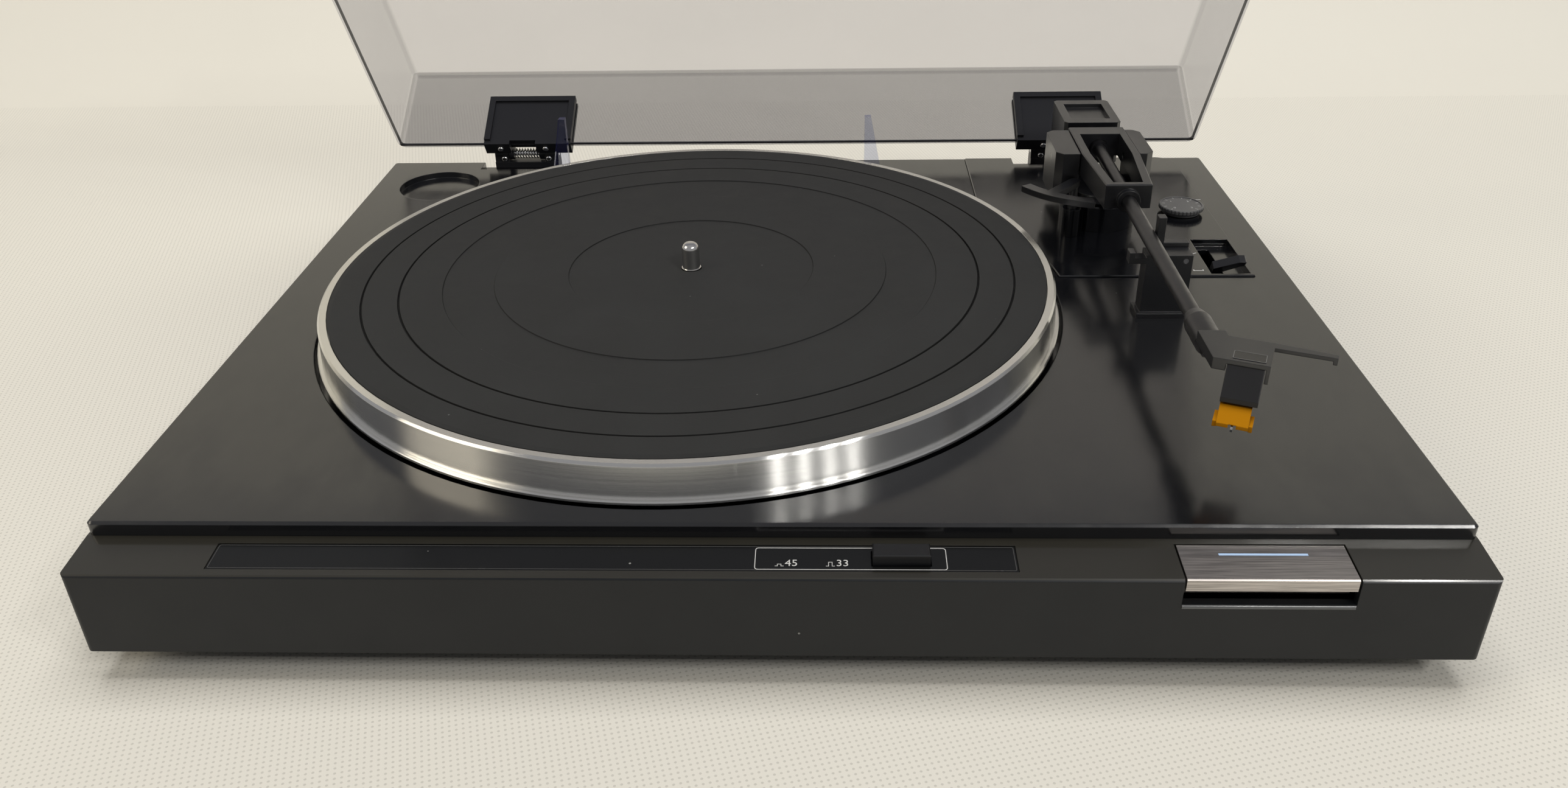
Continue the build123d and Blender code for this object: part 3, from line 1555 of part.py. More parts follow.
# Hinge brackets that hold the lid's back wall, with knuckles on the hinge pins
bracket_top_z = lid_rim + bracket_rise
bracket_low = lid_rim - bracket_foot - bracket_slot_gap
bracket_outer = lid_back + bracket_slot_gap + bracket_plate
bracket_inner = lid_inner - bracket_slot_gap - bracket_plate
knuckle_out = hinge_width / 2 - ear_width - part_gap
knuckle_in = knuckle_out - knuckle_width
with BuildPart(lid_plane) as hinge_brackets:
    for side in (-1, 1):
        x = side * hinge_spread
        left = side * bracket_x - bracket_span / 2
        right = side * bracket_x + bracket_span / 2
        block(left, right, lid_back + bracket_slot_gap, bracket_outer, bracket_low, bracket_top_z)
        block(left, right, bracket_inner, lid_inner - bracket_slot_gap, bracket_low, bracket_top_z)
        block(left, right, bracket_inner, bracket_outer, bracket_low, lid_rim - bracket_slot_gap)
        rim_face = bracket_inner - bracket_rim
        block(left, right, rim_face, bracket_inner, bracket_top_z - bracket_rim_width, bracket_top_z)
        block(left, left + bracket_rim_width, rim_face, bracket_inner, lid_rim, bracket_top_z)
        block(right - bracket_rim_width, right, rim_face, bracket_inner, lid_rim, bracket_top_z)
        rim_low = bracket_low - bracket_foot
        block(x - knuckle_in, x + knuckle_in, rim_face, bracket_outer, rim_low, lid_rim, Mode.SUBTRACT)
        block(
            x - knuckle_in,
            x + knuckle_in,
            lid_back + bracket_slot_gap,
            bracket_outer,
            rim_low,
            lid_rim + bracket_notch_rise,
            Mode.SUBTRACT,
        )
        for knuckle in (-knuckle_out, knuckle_in):
            block(
                x + knuckle,
                x + knuckle + knuckle_width,
                bracket_outer,
                0,
                -knuckle_radius * 0.65,
                knuckle_radius * 0.65,
            )
            bar_x(x + knuckle, x + knuckle + knuckle_width, 0, 0, knuckle_radius)
        bar_x(x - knuckle_out, x + knuckle_out, 0, 0, hinge_pin_radius + fit_gap, Mode.SUBTRACT)
save(hinge_brackets, "hinge_brackets")

rivet_x = knuckle_out + rivet_radius + 2 * part_gap
with BuildPart(lid_plane) as bracket_rivets:
    for side in (-1, 1):
        for rivet in (-1, 1):
            x = side * hinge_spread + rivet * rivet_x
            post(x, (bracket_inner + bracket_outer) / 2, bracket_low - rivet_height, bracket_low, rivet_radius)
    rivet_faces = bracket_rivets.faces().filter_by(GeomType.PLANE).group_by(lid_axis)[0]
    fillet(rivet_faces.edges(), radius=rivet_round)
save(bracket_rivets, "bracket_rivets")

# Hinge bases on the back wall, pins, coil springs and rivets
hinge_low = deck_top - hinge_drop
hinge_shelf = hinge_z - knuckle_radius - part_gap
with BuildPart() as hinge_bases:
    for side in (-1, 1):
        x = side * hinge_spread
        block(x - hinge_width / 2, x + hinge_width / 2, back_y, back_y + hinge_depth, hinge_low, hinge_shelf)
        for ear in (-1, 1):
            ear_x = x + ear * (hinge_width / 2 - ear_width / 2)
            bar_x(ear_x - ear_width / 2, ear_x + ear_width / 2, hinge_y, hinge_z, ear_radius)
            block(
                ear_x - ear_width / 2,
                ear_x + ear_width / 2,
                hinge_y - ear_radius,
                hinge_y + ear_radius,
                hinge_shelf,
                hinge_z,
            )
        bar_x(
            x - hinge_width / 2, x + hinge_width / 2, hinge_y, hinge_z, hinge_pin_radius + fit_gap, Mode.SUBTRACT
        )
save(hinge_bases, "hinge_bases")

with BuildPart() as hinge_pins:
    for side in (-1, 1):
        x = side * hinge_spread
        bar_x(x - hinge_width / 2, x + hinge_width / 2, hinge_y, hinge_z, hinge_pin_radius)
save(hinge_pins, "hinge_pins")


def spring_path(middle_x):
    """Wire centre line of a coil along X: quarter-turn biarcs with a short straight run at each end."""
    length = spring_turns * spring_pitch
    quarters = 4 * spring_turns
    rise = spring_pitch / (2 * pi)

    def at(turn):
        return Vector(
            middle_x - length / 2 + rise * turn,
            hinge_y + spring_radius * cos(turn),
            hinge_z + spring_radius * sin(turn),
        )

    def heading(turn):
        return Vector(rise, -spring_radius * sin(turn), spring_radius * cos(turn)).normalized()

    first, last = at(0), at(quarters * pi / 2)
    with BuildLine(mode=Mode.PRIVATE) as path:
        Line(first - heading(0) * spring_wire, first)
        for quarter in range(quarters):
            a, b = at(quarter * pi / 2), at((quarter + 1) * pi / 2)
            ta, tb = heading(quarter * pi / 2), heading((quarter + 1) * pi / 2)
            span = b - a
            both = ta + tb
            open_up = 2 * (1 - ta.dot(tb))
            reach = (sqrt(span.dot(both) ** 2 + open_up * span.dot(span)) - span.dot(both)) / open_up
            near, far = a + ta * reach, b - tb * reach
            joint = (near + far) * 0.5
            TangentArc(a, joint, tangent=ta)
            TangentArc(joint, b, tangent=(far - near).normalized())
        Line(last, last + heading(quarters * pi / 2) * spring_wire)
    return path.wire()


with BuildPart() as hinge_springs:
    for side in (-1, 1):
        path = spring_path(side * hinge_spread)
        with BuildSketch(Plane(path @ 0, z_dir=path % 0)):
            Circle(spring_wire / 2)
        sweep(path=path)
save(hinge_springs, "hinge_springs")
lead = sqrt((2 * pi * spring_radius) ** 2 + spring_pitch**2)
coil_points = [
    (spring_pitch * step / 36, spring_radius * cos(pi * step / 18), spring_radius * sin(pi * step / 18))
    for step in range(36 * spring_turns)
]
coil_gap = min(dist(p, q) for i, p in enumerate(coil_points) for q in coil_points[i + 18 :]) - spring_wire
print(f"hinge spring: wire length {lead * spring_turns:.1f} mm, least gap between turns {coil_gap:.2f} mm")

with BuildPart() as hinge_rivets:
    rivet_seat = hinge_y - ear_radius
    for side in (-1, 1):
        for rivet in (-1, 1):
            x = side * hinge_spread + rivet * rivet_x
            bar_y(x, rivet_seat - rivet_height, rivet_seat, hinge_z - rivet_drop, rivet_radius)
    rivet_faces = hinge_rivets.faces().filter_by(GeomType.PLANE).group_by(Axis.Y)[0]
    fillet(rivet_faces.edges(), radius=rivet_round)
save(hinge_rivets, "hinge_rivets")

# Rear fittings: bushings for the mains and signal leads, and the earth terminal
with BuildPart() as lead_bushings:
    for x, radius in gland_places:
        bar_y(x, back_y - wall, back_y, gland_height, radius)
        bar_y(x, back_y, back_y + gland_lip, gland_height, gland_flange)
        bar_y(x, back_y - wall, back_y + gland_lip, gland_height, gland_bore, Mode.SUBTRACT)
save(lead_bushings, "lead_bushings")

with BuildPart() as earth_terminal:
    bar_y(ground_x, back_y - wall, back_y, gland_height, screw_radius)
    bar_y(ground_x, back_y, back_y + terminal_length, gland_height, terminal_radius)
save(earth_terminal, "earth_terminal")

# Circuit board with its capacitors, and the mains transformer
with BuildPart() as circuit_board:
    block(
        board_x - board_width / 2,
        board_x + board_width / 2,
        board_y - board_depth / 2,
        board_y + board_depth / 2,
        board_bottom,
        board_top,
    )
save(circuit_board, "circuit_board")

with BuildPart() as capacitors:
    for column in (-1, 0, 1):
        for row in (-1, 1):
            post(
                board_x + column * board_width / 4,
                board_y + row * board_depth / 5,
                board_top,
                board_top + capacitor_height,
                capacitor_radius,
            )
save(capacitors, "capacitors")

with BuildPart() as transformer:
    half_x = transformer_width / 2
    half_y = transformer_depth / 2
    top = cover_top + transformer_height
    block(transformer_x - half_x, transformer_x + half_x, transformer_y - half_y, transformer_y + half_y, cover_top, top)
    block(
        transformer_x - half_x + coil_margin,
        transformer_x + half_x - coil_margin,
        transformer_y - half_y - coil_margin,
        transformer_y + half_y + coil_margin,
        cover_top + coil_margin / 2,
        top - coil_margin / 2,
    )
save(transformer, "transformer")
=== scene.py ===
import json
from math import cos, pi, radians, sin, tau
from typing import NamedTuple

import bpy
import numpy as np
from bpy.props import FloatProperty, FloatVectorProperty, PointerProperty
from mathutils import Matrix, Vector


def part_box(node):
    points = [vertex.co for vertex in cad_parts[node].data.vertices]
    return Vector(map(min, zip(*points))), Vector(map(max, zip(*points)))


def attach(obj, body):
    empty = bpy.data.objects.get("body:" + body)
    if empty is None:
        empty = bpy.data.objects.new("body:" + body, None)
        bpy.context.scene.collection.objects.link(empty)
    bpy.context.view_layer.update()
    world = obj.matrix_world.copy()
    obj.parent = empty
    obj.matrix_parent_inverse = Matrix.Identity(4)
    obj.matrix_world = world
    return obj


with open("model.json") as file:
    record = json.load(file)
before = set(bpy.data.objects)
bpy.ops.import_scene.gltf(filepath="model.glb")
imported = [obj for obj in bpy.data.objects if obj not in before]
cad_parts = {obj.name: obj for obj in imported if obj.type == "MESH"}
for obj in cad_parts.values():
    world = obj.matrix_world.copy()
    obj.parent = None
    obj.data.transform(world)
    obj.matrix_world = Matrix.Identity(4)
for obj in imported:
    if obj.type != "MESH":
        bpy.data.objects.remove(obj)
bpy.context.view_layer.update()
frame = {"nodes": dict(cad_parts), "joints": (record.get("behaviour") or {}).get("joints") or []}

bl_info = {
    "name": "Record Player",
    "version": (1, 0, 0),
    "blender": (4, 5, 0),
    "location": "3D View > Sidebar > Record Player",
    "description": "Finishes, printing, fittings and studio for a record player with an open lid",
    "category": "Object",
}


def joint(name):
    """The record's joint of that name."""
    return next(j for j in frame["joints"] if j["name"] == name)


# Facts taken from the frame
NODES = frame["nodes"]
MIDDLE_Y = sum(corner.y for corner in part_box("plinth")) / 2
PLATTER_AXIS = Vector(joint("platter_spin")["pos_m"])
DIAL_AXIS = Vector(joint("dial_turn")["pos_m"])
LID_AXIS = Vector(joint("lid_hinge")["pos_m"])
LID_OPEN = radians(-joint("lid_hinge")["range_deg"][0])

MM = 0.001
RIGHT = (1, 0, 0)
BACK = (0, 1, 0)
UP = (0, 0, 1)

# The sloping control ledge behind the fascia
FASCIA_TOP = 42 * MM
LEDGE_DEPTH = 18.3 * MM
LEDGE_RISE = 1.5 * MM
LEDGE_BACK = np.array([0, LEDGE_DEPTH, LEDGE_RISE]) / np.hypot(LEDGE_DEPTH, LEDGE_RISE)
LEDGE_UP = np.cross(RIGHT, LEDGE_BACK)
LEDGE_SHINE_FROM = 41.6 * MM

# Marks of the two speeds, from the middle of the ledge: each figure's middle, each sign's left end and its rise
STRIP_THICKNESS = 1 * MM
SPEED_FRAME = np.array([-4.2, 53.5, -4.9, 4.6]) * MM
SPEED_FRAME_CORNER = 0.9 * MM
SPEED_FIGURES = (("45", 6.8 * MM), ("33", 22.2 * MM))
SPEED_FIGURE_Y = -2.2 * MM
SPEED_SIGNS = ((1.8 * MM, 0.8 * MM), (17.2 * MM, 1.7 * MM))
SPEED_SIGN_Y = -3.4 * MM
SPEED_SIGN_STEPS = np.array([0, 0.81, 0.81, 1.89, 1.89, 2.7]) * MM
SPEED_SIGN_LINE = 0.8

# The fine bead round the control strip, pale as a painted highlight of its edge
BEAD_INSET = 0.6 * MM
BEAD_CORNER = 0.5 * MM
BEAD_WIDTH = 0.25 * MM

# Lever signs and the dial's index line on the arm panel: each path and its place, in millimetres
PANEL_SIGNS = (
    (((-1.0, -1.3), (-1.0, 0.1), (1.1, 1.2)), (179.4, 45.6)),
    (((-2.0, -0.2), (-2.0, -1.2), (2.0, -1.2), (2.0, -0.2)), (176.9, 29.4)),
    (((-1.6, 0), (1.6, 0)), (197.2, 110.4)),
)
PANEL_LINE = 0.5 * MM

# The skating dial's scale
DIAL_TICKS = 10
DIAL_START = radians(225)
DIAL_STEP = radians(30)
DIAL_TICK_ENDS = np.array([7.4, 8.8]) * MM
DIAL_LINE = 0.28 * MM
DIAL_FIGURE_EVERY = 3
DIAL_FIGURE_RADIUS = 5.6 * MM
DIAL_FIGURE_SIZE = 2.4 * MM
DIAL_RIM = 0.3 * MM

# The bare name plate on the headshell
PLATE_TURN = radians(-22)
PLATE_X = 151.15 * MM
PLATE_Y = -114.65 * MM
PLATE_HALF = np.array([5.1, 2.7]) * MM
PLATE_CORNER = 0.4 * MM
PLATE_THICKNESS = 0.1 * MM
PLATE_EDGE_WIDTH = 0.2 * MM
PLATE_EDGE_RISE = 0.06 * MM
PLATE_EDGE_SHARE = 0.97

# The pale blue bar on the return key, a painted reflection, and the half-round lip under the key's notch, pale as a
# painted highlight
KEY_GAP = 0.3 * MM
BAR_BACK = 11 * MM
BAR_LEFT = 135.1 * MM
BAR_RIGHT = 161.7 * MM
BAR_HALF_WIDTH = 0.45 * MM
BAR_SUNK = 0.1 * MM
BAR_PROUD = 0.08 * MM
LIP_REACH = 0.45 * MM
LIP_HALF_HEIGHT = 0.7 * MM
LIP_RIGHT = 173.9 * MM
LIP_LENGTH = 51 * MM
LIP_Z = 32.05 * MM

# Grain of the finishes; a face is steep when its normal's rise is less than that share
BEVEL_SAMPLES = 4
MOULD_GRAIN = 0.5 * MM
MOULD_SMUDGE = 0.08
MAT_GROOVE_DEPTH = 0.42 * MM
SPECK_PITCH = 3 * MM
SPECK_SIZE = 0.12
LATHE_PITCH = 0.3 * MM
BRUSH_PITCH = 0.35 * MM
STEEP = 0.9
DUST = (0.5, 0.5, 0.48, 1)
RUBBER_DUST = (0.4, 0.4, 0.39, 1)
# Painted reflection: the warm pale tone that the ledge's colour is blended towards, for the warm wall it mirrors
LEDGE_PAINTED_SHEEN = (0.03, 0.026, 0.016, 1)

# The backdrop: a floor, a quarter sweep and a low wall
FLOOR_RUN = (-3.0, -1.5, 0.0, 0.25)
FLOOR_HALF_WIDTH = 3.0
FLOOR_COLUMNS = 13
SWEEP_FOOT = 0.4
SWEEP_RADIUS = 0.3
SWEEP_ROWS = 24
WALL_TOP = 0.7
DOT_PITCH = 2.9 * MM


class Lamp(NamedTuple):
    """A rectangular lamp: its size and places in metres, its power in watts, and whether gloss mirrors it."""

    name: str
    place: tuple
    aim: tuple
    size: tuple
    power: float
    colour: tuple
    mirrored: bool = True


ROW_PLACES = ((1.175, -2.159), (1.447, -1.923), (1.726, -1.68), (1.975, -1.463))
ROW_HEIGHT = 2.1
LAMPS = (
    Lamp("ceiling_lamp", (0.05, 0.05, 2.0), (0.05, 0.1, 0), (1.6, 1.0), 29, (1, 0.98, 0.95), False),
    Lamp("left_lamp", (-1.7, -0.5, 1.3), (-0.1, 0.2, 0.1), (1.0, 1.0), 9, (1, 0.9, 0.72)),
    *(
        Lamp(f"row_lamp_{count}", (*place, ROW_HEIGHT), (0, 0, 0.05), (0.1, 0.1), 8, (1, 0.98, 0.94))
        for count, place in enumerate(ROW_PLACES, 1)
    ),
)


class Wire:
    """A number in a shader tree; arithmetic on it adds Math nodes."""

    def __init__(self, finish, socket):
        self.finish = finish
        self.socket = socket

    def do(self, operation, *others):
        return self.finish.maths(operation, self, *others)

    def __add__(self, other):
        return self.do("ADD", other)

    def __sub__(self, other):
        return self.do("SUBTRACT", other)

    def __rsub__(self, other):
        return self.finish.maths("SUBTRACT", other, self)

    def __mul__(self, other):
        return self.do("MULTIPLY", other)

    def __pow__(self, other):
        return self.do("POWER", other)

    def __gt__(self, other):
        return self.do("GREATER_THAN", other)

    def __lt__(self, other):
        return self.do("LESS_THAN", other)

    def __abs__(self):
        return self.do("ABSOLUTE")

    def least(self, other):
        return self.do("MINIMUM", other)

    def most(self, other):
        return self.do("MAXIMUM", other)

    def ease(self, low, high, start=0.0, end=1.0):
        """A smooth step from start at low to end at high."""
        made = self.finish.node(
            "ShaderNodeMapRange",
            {"interpolation_type": "SMOOTHSTEP"},
            {"Value": self, "From Min": low, "From Max": high, "To Min": start, "To Max": end},
        )
        return Wire(self.finish, made.outputs["Result"])


class Finish:
    """One material and its node tree."""

    def __init__(self, name):
        self.material = bpy.data.materials.new(name)
        self.material.use_nodes = True
        self.tree = self.material.node_tree
        self.tree.nodes.clear()

    def node(self, kind, settings=None, inputs=None):
        """Any node: its settings come first, then the values or links of its sockets."""
        made = self.tree.nodes.new(kind)
        for key, value in (settings or {}).items():
            setattr(made, key, value)
        for key, value in (inputs or {}).items():
            if isinstance(value, Wire):
                self.tree.links.new(value.socket, made.inputs[key])
            else:
                made.inputs[key].default_value = value
        return made

    def wire(self, node, output=0):
        return Wire(self, node.outputs[output])

    def maths(self, operation, *values):
        return self.wire(self.node("ShaderNodeMath", {"operation": operation}, dict(enumerate(values))))

    def place(self, turn=(0, 0, 0), shift=(0, 0, 0), stretch=(1, 1, 1)):
        """Object coordinates, stretched, turned and shifted."""
        source = self.wire(self.node("ShaderNodeTexCoord"), "Object")
        inputs = {"Vector": source, "Rotation": turn, "Location": shift, "Scale": stretch}
        return self.wire(self.node("ShaderNodeMapping", None, inputs))

    def axes(self, place):
        """The three numbers of a place or a direction."""
        split = self.node("ShaderNodeSeparateXYZ", None, {0: place})
        return [self.wire(split, i) for i in range(3)]

    def normal(self):
        """The direction in which the surface faces, before any relief."""
        return self.wire(self.node("ShaderNodeNewGeometry"), "Normal")

    def noise(self, size, detail=2.0, rough=0.5, stretch=(1, 1, 1)):
        """Cloudy values whose blobs are about size metres across."""
        inputs = {"Vector": self.place(stretch=stretch), "Scale": 1 / size, "Detail": detail, "Roughness": rough}
        return self.wire(self.node("ShaderNodeTexNoise", None, inputs), "Fac")

    def specks(self, share):
        """Sparse dots, on about that share of the cells of a loose grid."""
        made = self.node("ShaderNodeTexVoronoi", None, {"Vector": self.place(), "Scale": 1 / SPECK_PITCH})
        hue = self.node("ShaderNodeSeparateColor", None, {0: self.wire(made, "Color")})
        return (self.wire(made, "Distance") < SPECK_SIZE) * (self.wire(hue, 0) < share)

    def blend(self, factor, first, second):
        """A colour between two colours, by the Mix node's colour sockets: inputs 6 and 7, output 2."""
        made = self.node("ShaderNodeMix", {"data_type": "RGBA"}, {0: factor, 6: first, 7: second})
        return self.wire(made, 2)

    def relief(self, height, depth, edge=0.0, strength=1.0):
        """A normal bumped by a height of 0 to 1 that is depth metres deep, with edges rounded by a radius."""
        inputs = {"Height": height, "Distance": depth, "Strength": strength}
        if edge:
            inputs["Normal"] = self.wire(self.node("ShaderNodeBevel", {"samples": BEVEL_SAMPLES}, {"Radius": edge}))
        return self.wire(self.node("ShaderNodeBump", None, inputs))

    def lean(self, normal, rise):
        """A normal tipped up or down."""
        tipped = self.node("ShaderNodeVectorMath", {"operation": "ADD"}, {0: normal, 1: (0, 0, rise)})
        return self.wire(self.node("ShaderNodeVectorMath", {"operation": "NORMALIZE"}, {0: self.wire(tipped)}))

    def skin(self, **inputs):
        """The surface shader, from sockets named in words joined by underscores."""
        return self.node("ShaderNodeBsdfPrincipled", None, {k.replace("_", " "): v for k, v in inputs.items()})

    def mix(self, share, first, second):
        """The material made of two shaders, with that share of the second."""
        inputs = {0: share, 1: self.wire(first), 2: self.wire(second)}
        return self.close(self.node("ShaderNodeMixShader", None, inputs))

    def close(self, shader):
        """The finished material."""
        self.node("ShaderNodeOutputMaterial", None, {"Surface": self.wire(shader)})
        return self.material


def tone(colour, factor=1.0):
    """A colour made darker or lighter, with its alpha."""
    return (*[min(1.0, c * factor) for c in colour[:3]], 1.0)


def moulded(name, colour, gloss, depth=0.01 * MM, dust=0.0, edge=0.4 * MM, shine=0.5, upper=None):
    """Moulded plastic: faint colour drift, a fine grain in relief, smudged gloss and a little dust; upper is a height
    and the weight of a clear coat above it, where the colour also goes half way to a warm painted reflection."""
    f = Finish(name)
    drift = f.noise(size=0.06, detail=3.0)
    grain = f.noise(size=MOULD_GRAIN)
    smear = f.noise(size=0.02, detail=4.0, rough=0.6, stretch=(1, 0.45, 1))
    shade = f.blend(drift, tone(colour, 0.86), tone(colour, 1.14))
    if dust:
        shade = f.blend(f.specks(dust) * 0.4, shade, DUST)
    coat = {}
    if upper:
        height, weight = upper
        above = f.axes(f.place())[2] > height
        coat = {"Coat_Weight": above * weight, "Coat_Roughness": 0.12}
        # Painted reflection: above that height the colour goes half way to a warm pale tone, for the warm wall
        # mirrored there
        shade = f.blend(above * 0.5, shade, LEDGE_PAINTED_SHEEN)
    return f.close(
        f.skin(
            Base_Color=shade,
            Roughness=smear.ease(0.3, 0.75, gloss - MOULD_SMUDGE / 2, gloss + MOULD_SMUDGE / 2),
            Normal=f.relief(grain, depth, edge),
            Specular_IOR_Level=shine,
            **coat,
        )
    )


def rubber(name, colour, grooves=None):
    """Matte rubber with a dry, dusty bloom and a fine pebble, with painted shade on steps and in grooves below a
    height.
    """
    f = Finish(name)
    bloom = f.noise(size=0.035, detail=4.0, rough=0.65)
    pebble = f.noise(size=0.6 * MM, detail=3.0)
    shade = f.blend(bloom.ease(0.3, 0.8), tone(colour, 0.9), tone(colour, 1.25))
    shade = f.blend(f.specks(0.006) * 0.25, shade, RUBBER_DUST)
    if grooves:
        # Painted shade: steep step walls and the grooves below that height go most of the way to near black
        steep = f.axes(f.normal())[2] < STEEP
        deep = f.axes(f.place())[2].ease(grooves - 0.1 * MM, grooves, 1.0, 0.0)
        shade = f.blend(steep.most(deep) * 0.85, shade, tone(colour, 0.15))
    return f.close(
        f.skin(
            Base_Color=shade,
            Roughness=bloom.ease(0.2, 0.8, 0.62, 0.78),
            Normal=f.relief(pebble, depth=0.03 * MM, edge=0.3 * MM),
            Specular_IOR_Level=0.35,
        )
    )


def turned_metal(name, colour, gloss, axis, tilt=-0.1, flank=0.6, flank_gloss=0.24, flank_share=0.14):
    """Lathe-turned metal: fine rings about an upright axis and along its height, whose flanks lean a little down and,
    with a faint second gloss, far up."""
    f = Finish(name)
    x, y, z = f.axes(f.place(shift=(-axis[0], -axis[1], 0)))
    radius = (x * x + y * y) ** 0.5
    run = f.wire(f.node("ShaderNodeCombineXYZ", None, {0: radius, 1: z}))
    inputs = {"Vector": run, "Scale": 1 / LATHE_PITCH, "Detail": 2.0}
    rings = f.wire(f.node("ShaderNodeTexNoise", None, inputs), "Fac")
    drift = f.noise(size=0.05)
    shade = f.blend(rings * 0.5 + drift * 0.5, tone(colour, 0.88), tone(colour, 1.06))
    spread = {"Base_Color": shade, "Metallic": 1.0, "Anisotropic": 1.0, "Anisotropic_Rotation": 0.25}
    rough = rings.ease(0.25, 0.75, gloss - 0.02, gloss + 0.02)
    turned = f.relief(rings, depth=0.002 * MM, edge=0.3 * MM)
    face = f.skin(Roughness=rough, Normal=f.lean(turned, tilt), **spread)
    return f.mix(flank_share, face, f.skin(Roughness=flank_gloss, Normal=f.lean(f.normal(), flank), **spread))


def brushed_metal(name, colour, gloss, stretch):
    """Metal brushed one way: noise drawn out along the brushing."""
    f = Finish(name)
    streak = f.noise(size=BRUSH_PITCH, detail=3.0, rough=0.6, stretch=stretch)
    drift = f.noise(size=0.03)
    return f.close(
        f.skin(
            Base_Color=f.blend(
                streak.ease(0.3, 0.7) * 0.75 + drift * 0.25, tone(colour, 0.62), tone(colour, 1.35)
            ),
            Metallic=1.0,
            Roughness=streak.ease(0.2, 0.8, gloss - 0.07, gloss + 0.1),
            Normal=f.relief(streak, depth=0.02 * MM),
        )
    )


def polished_metal(name, colour, gloss):
    """Plated or polished metal with faint haze."""
    f = Finish(name)
    haze = f.noise(size=4 * MM, detail=4.0, rough=0.6)
    scratch = f.noise(size=0.4 * MM, stretch=(1, 1, 0.1))
    return f.close(
        f.skin(
            Base_Color=f.blend(haze, tone(colour, 0.9), tone(colour, 1.05)),
            Metallic=1.0,
            Roughness=haze.ease(0.3, 0.8, gloss, gloss + 0.12),
            Normal=f.relief(scratch, depth=0.003 * MM),
        )
    )


def clear_plastic(name, tint, body, veil, slant, edges=None):
    """Clear plastic: a tinted see-through sheet with a thin veil, denser at a slant and, as painted shade, where
    edges says.
    """
    f = Finish(name)
    facing = f.wire(f.node("ShaderNodeLayerWeight", None, {"Blend": 0.5}), "Facing")
    haze = f.noise(size=0.05, detail=4.0, rough=0.6)
    cover = facing**4.0 * slant + haze.ease(0.3, 0.8, veil * 0.8, veil * 1.2)
    if edges:
        cover = cover + edges(f)
    through = f.node("ShaderNodeBsdfTransparent", None, {"Color": tone(tint)})
    shine = f.skin(
        Base_Color=f.blend(haze, tone(body, 0.9), tone(body, 1.1)),
        Roughness=haze.ease(0.3, 0.8, 0.05, 0.1),
        Specular_IOR_Level=0.8,
    )
    return f.mix(cover.least(1.0).most(0.0), through, shine)


def lid_painted_shade(f, fold_cover=0.16, rim_cover=0.9, back_cover=0.26):
    """Painted shade: extra cover along the lid's folds and rim for the dark lines of a clear shell's edges, and on
    its back wall for the shadow behind, in the shut lid's own axes.
    """
    shift = -(Matrix.Rotation(LID_OPEN, 3, "X") @ LID_AXIS)
    x, y, z = f.axes(f.place(turn=(LID_OPEN, 0, 0), shift=shift))
    low, high = lid_limits()
    side = high.x - abs(x)
    end = (y - low.y).least(high.y - y)
    top = high.z - z
    # Painted shade along the folds, the rim and the back wall
    fold = (side + end).least(side + top).least(end + top).ease(1.2 * MM, 3 * MM, fold_cover, 0.0)
    rim = (z - low.z).ease(0.3 * MM, 0.9 * MM, rim_cover, 0.0) * side.least(end).ease(0.9 * MM, 1.2 * MM)
    return fold + rim + (high.y - y).ease(2.2 * MM, 2.6 * MM, back_cover, 0.0)


def lid_limits():
    """The lid's lowest and highest corners in the shut lid's own axes, with the hinge line as origin."""
    turn = np.array(Matrix.Rotation(LID_OPEN, 3, "X"))
    local = (mesh_points(NODES["lid"].data) - np.array(LID_AXIS)) @ turn.T
    return Vector(local.min(0)), Vector(local.max(0))


def mesh_points(mesh):
    """A mesh's points as rows of an array."""
    points = np.empty(len(mesh.vertices) * 3, np.float32)
    mesh.vertices.foreach_get("co", points)
    return points.reshape(-1, 3)


def wear(material, *pieces):
    """Give CAD nodes, by name, or new pieces one material."""
    for one in pieces:
        data = (NODES[one] if isinstance(one, str) else one).data
        data.materials.clear()
        data.materials.append(material)


def new_object(name, points, faces, material):
    """A mesh object from an array of points in metres and a list of faces."""
    mesh = bpy.data.meshes.new(name)
    mesh.from_pydata(np.asarray(points, float).tolist(), [], [list(map(int, face)) for face in faces])
    mesh.update()
    made = bpy.data.objects.new(name, mesh)
    bpy.context.scene.collection.objects.link(made)
    wear(material, made)
    return made


def piece(name, shape, body, material):
    """A new piece from a shape, riding on a body."""
    made = new_object(name, *shape, material)
    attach(made, body)


def grid_faces(rows, columns, wrap=True):
    """Quads of a rows by columns grid of points, closed round the columns if wrap."""
    r, c = np.meshgrid(np.arange(rows - 1), np.arange(columns if wrap else columns - 1), indexing="ij")
    n = (c + 1) % columns
    quads = np.stack([r * columns + c, r * columns + n, (r + 1) * columns + n, (r + 1) * columns + c], -1)
    return quads.reshape(-1, 4)


def prism(outline, low, high):
    """A closed slab: an outline of (x, y) points, counter-clockwise, between two heights."""
    count = len(outline)
    levels = [np.column_stack([outline, np.full(count, z)]) for z in (low, high)]
    faces = [list(range(count))[::-1], list(range(count, 2 * count))]
    return np.vstack(levels), faces + grid_faces(2, count).tolist()


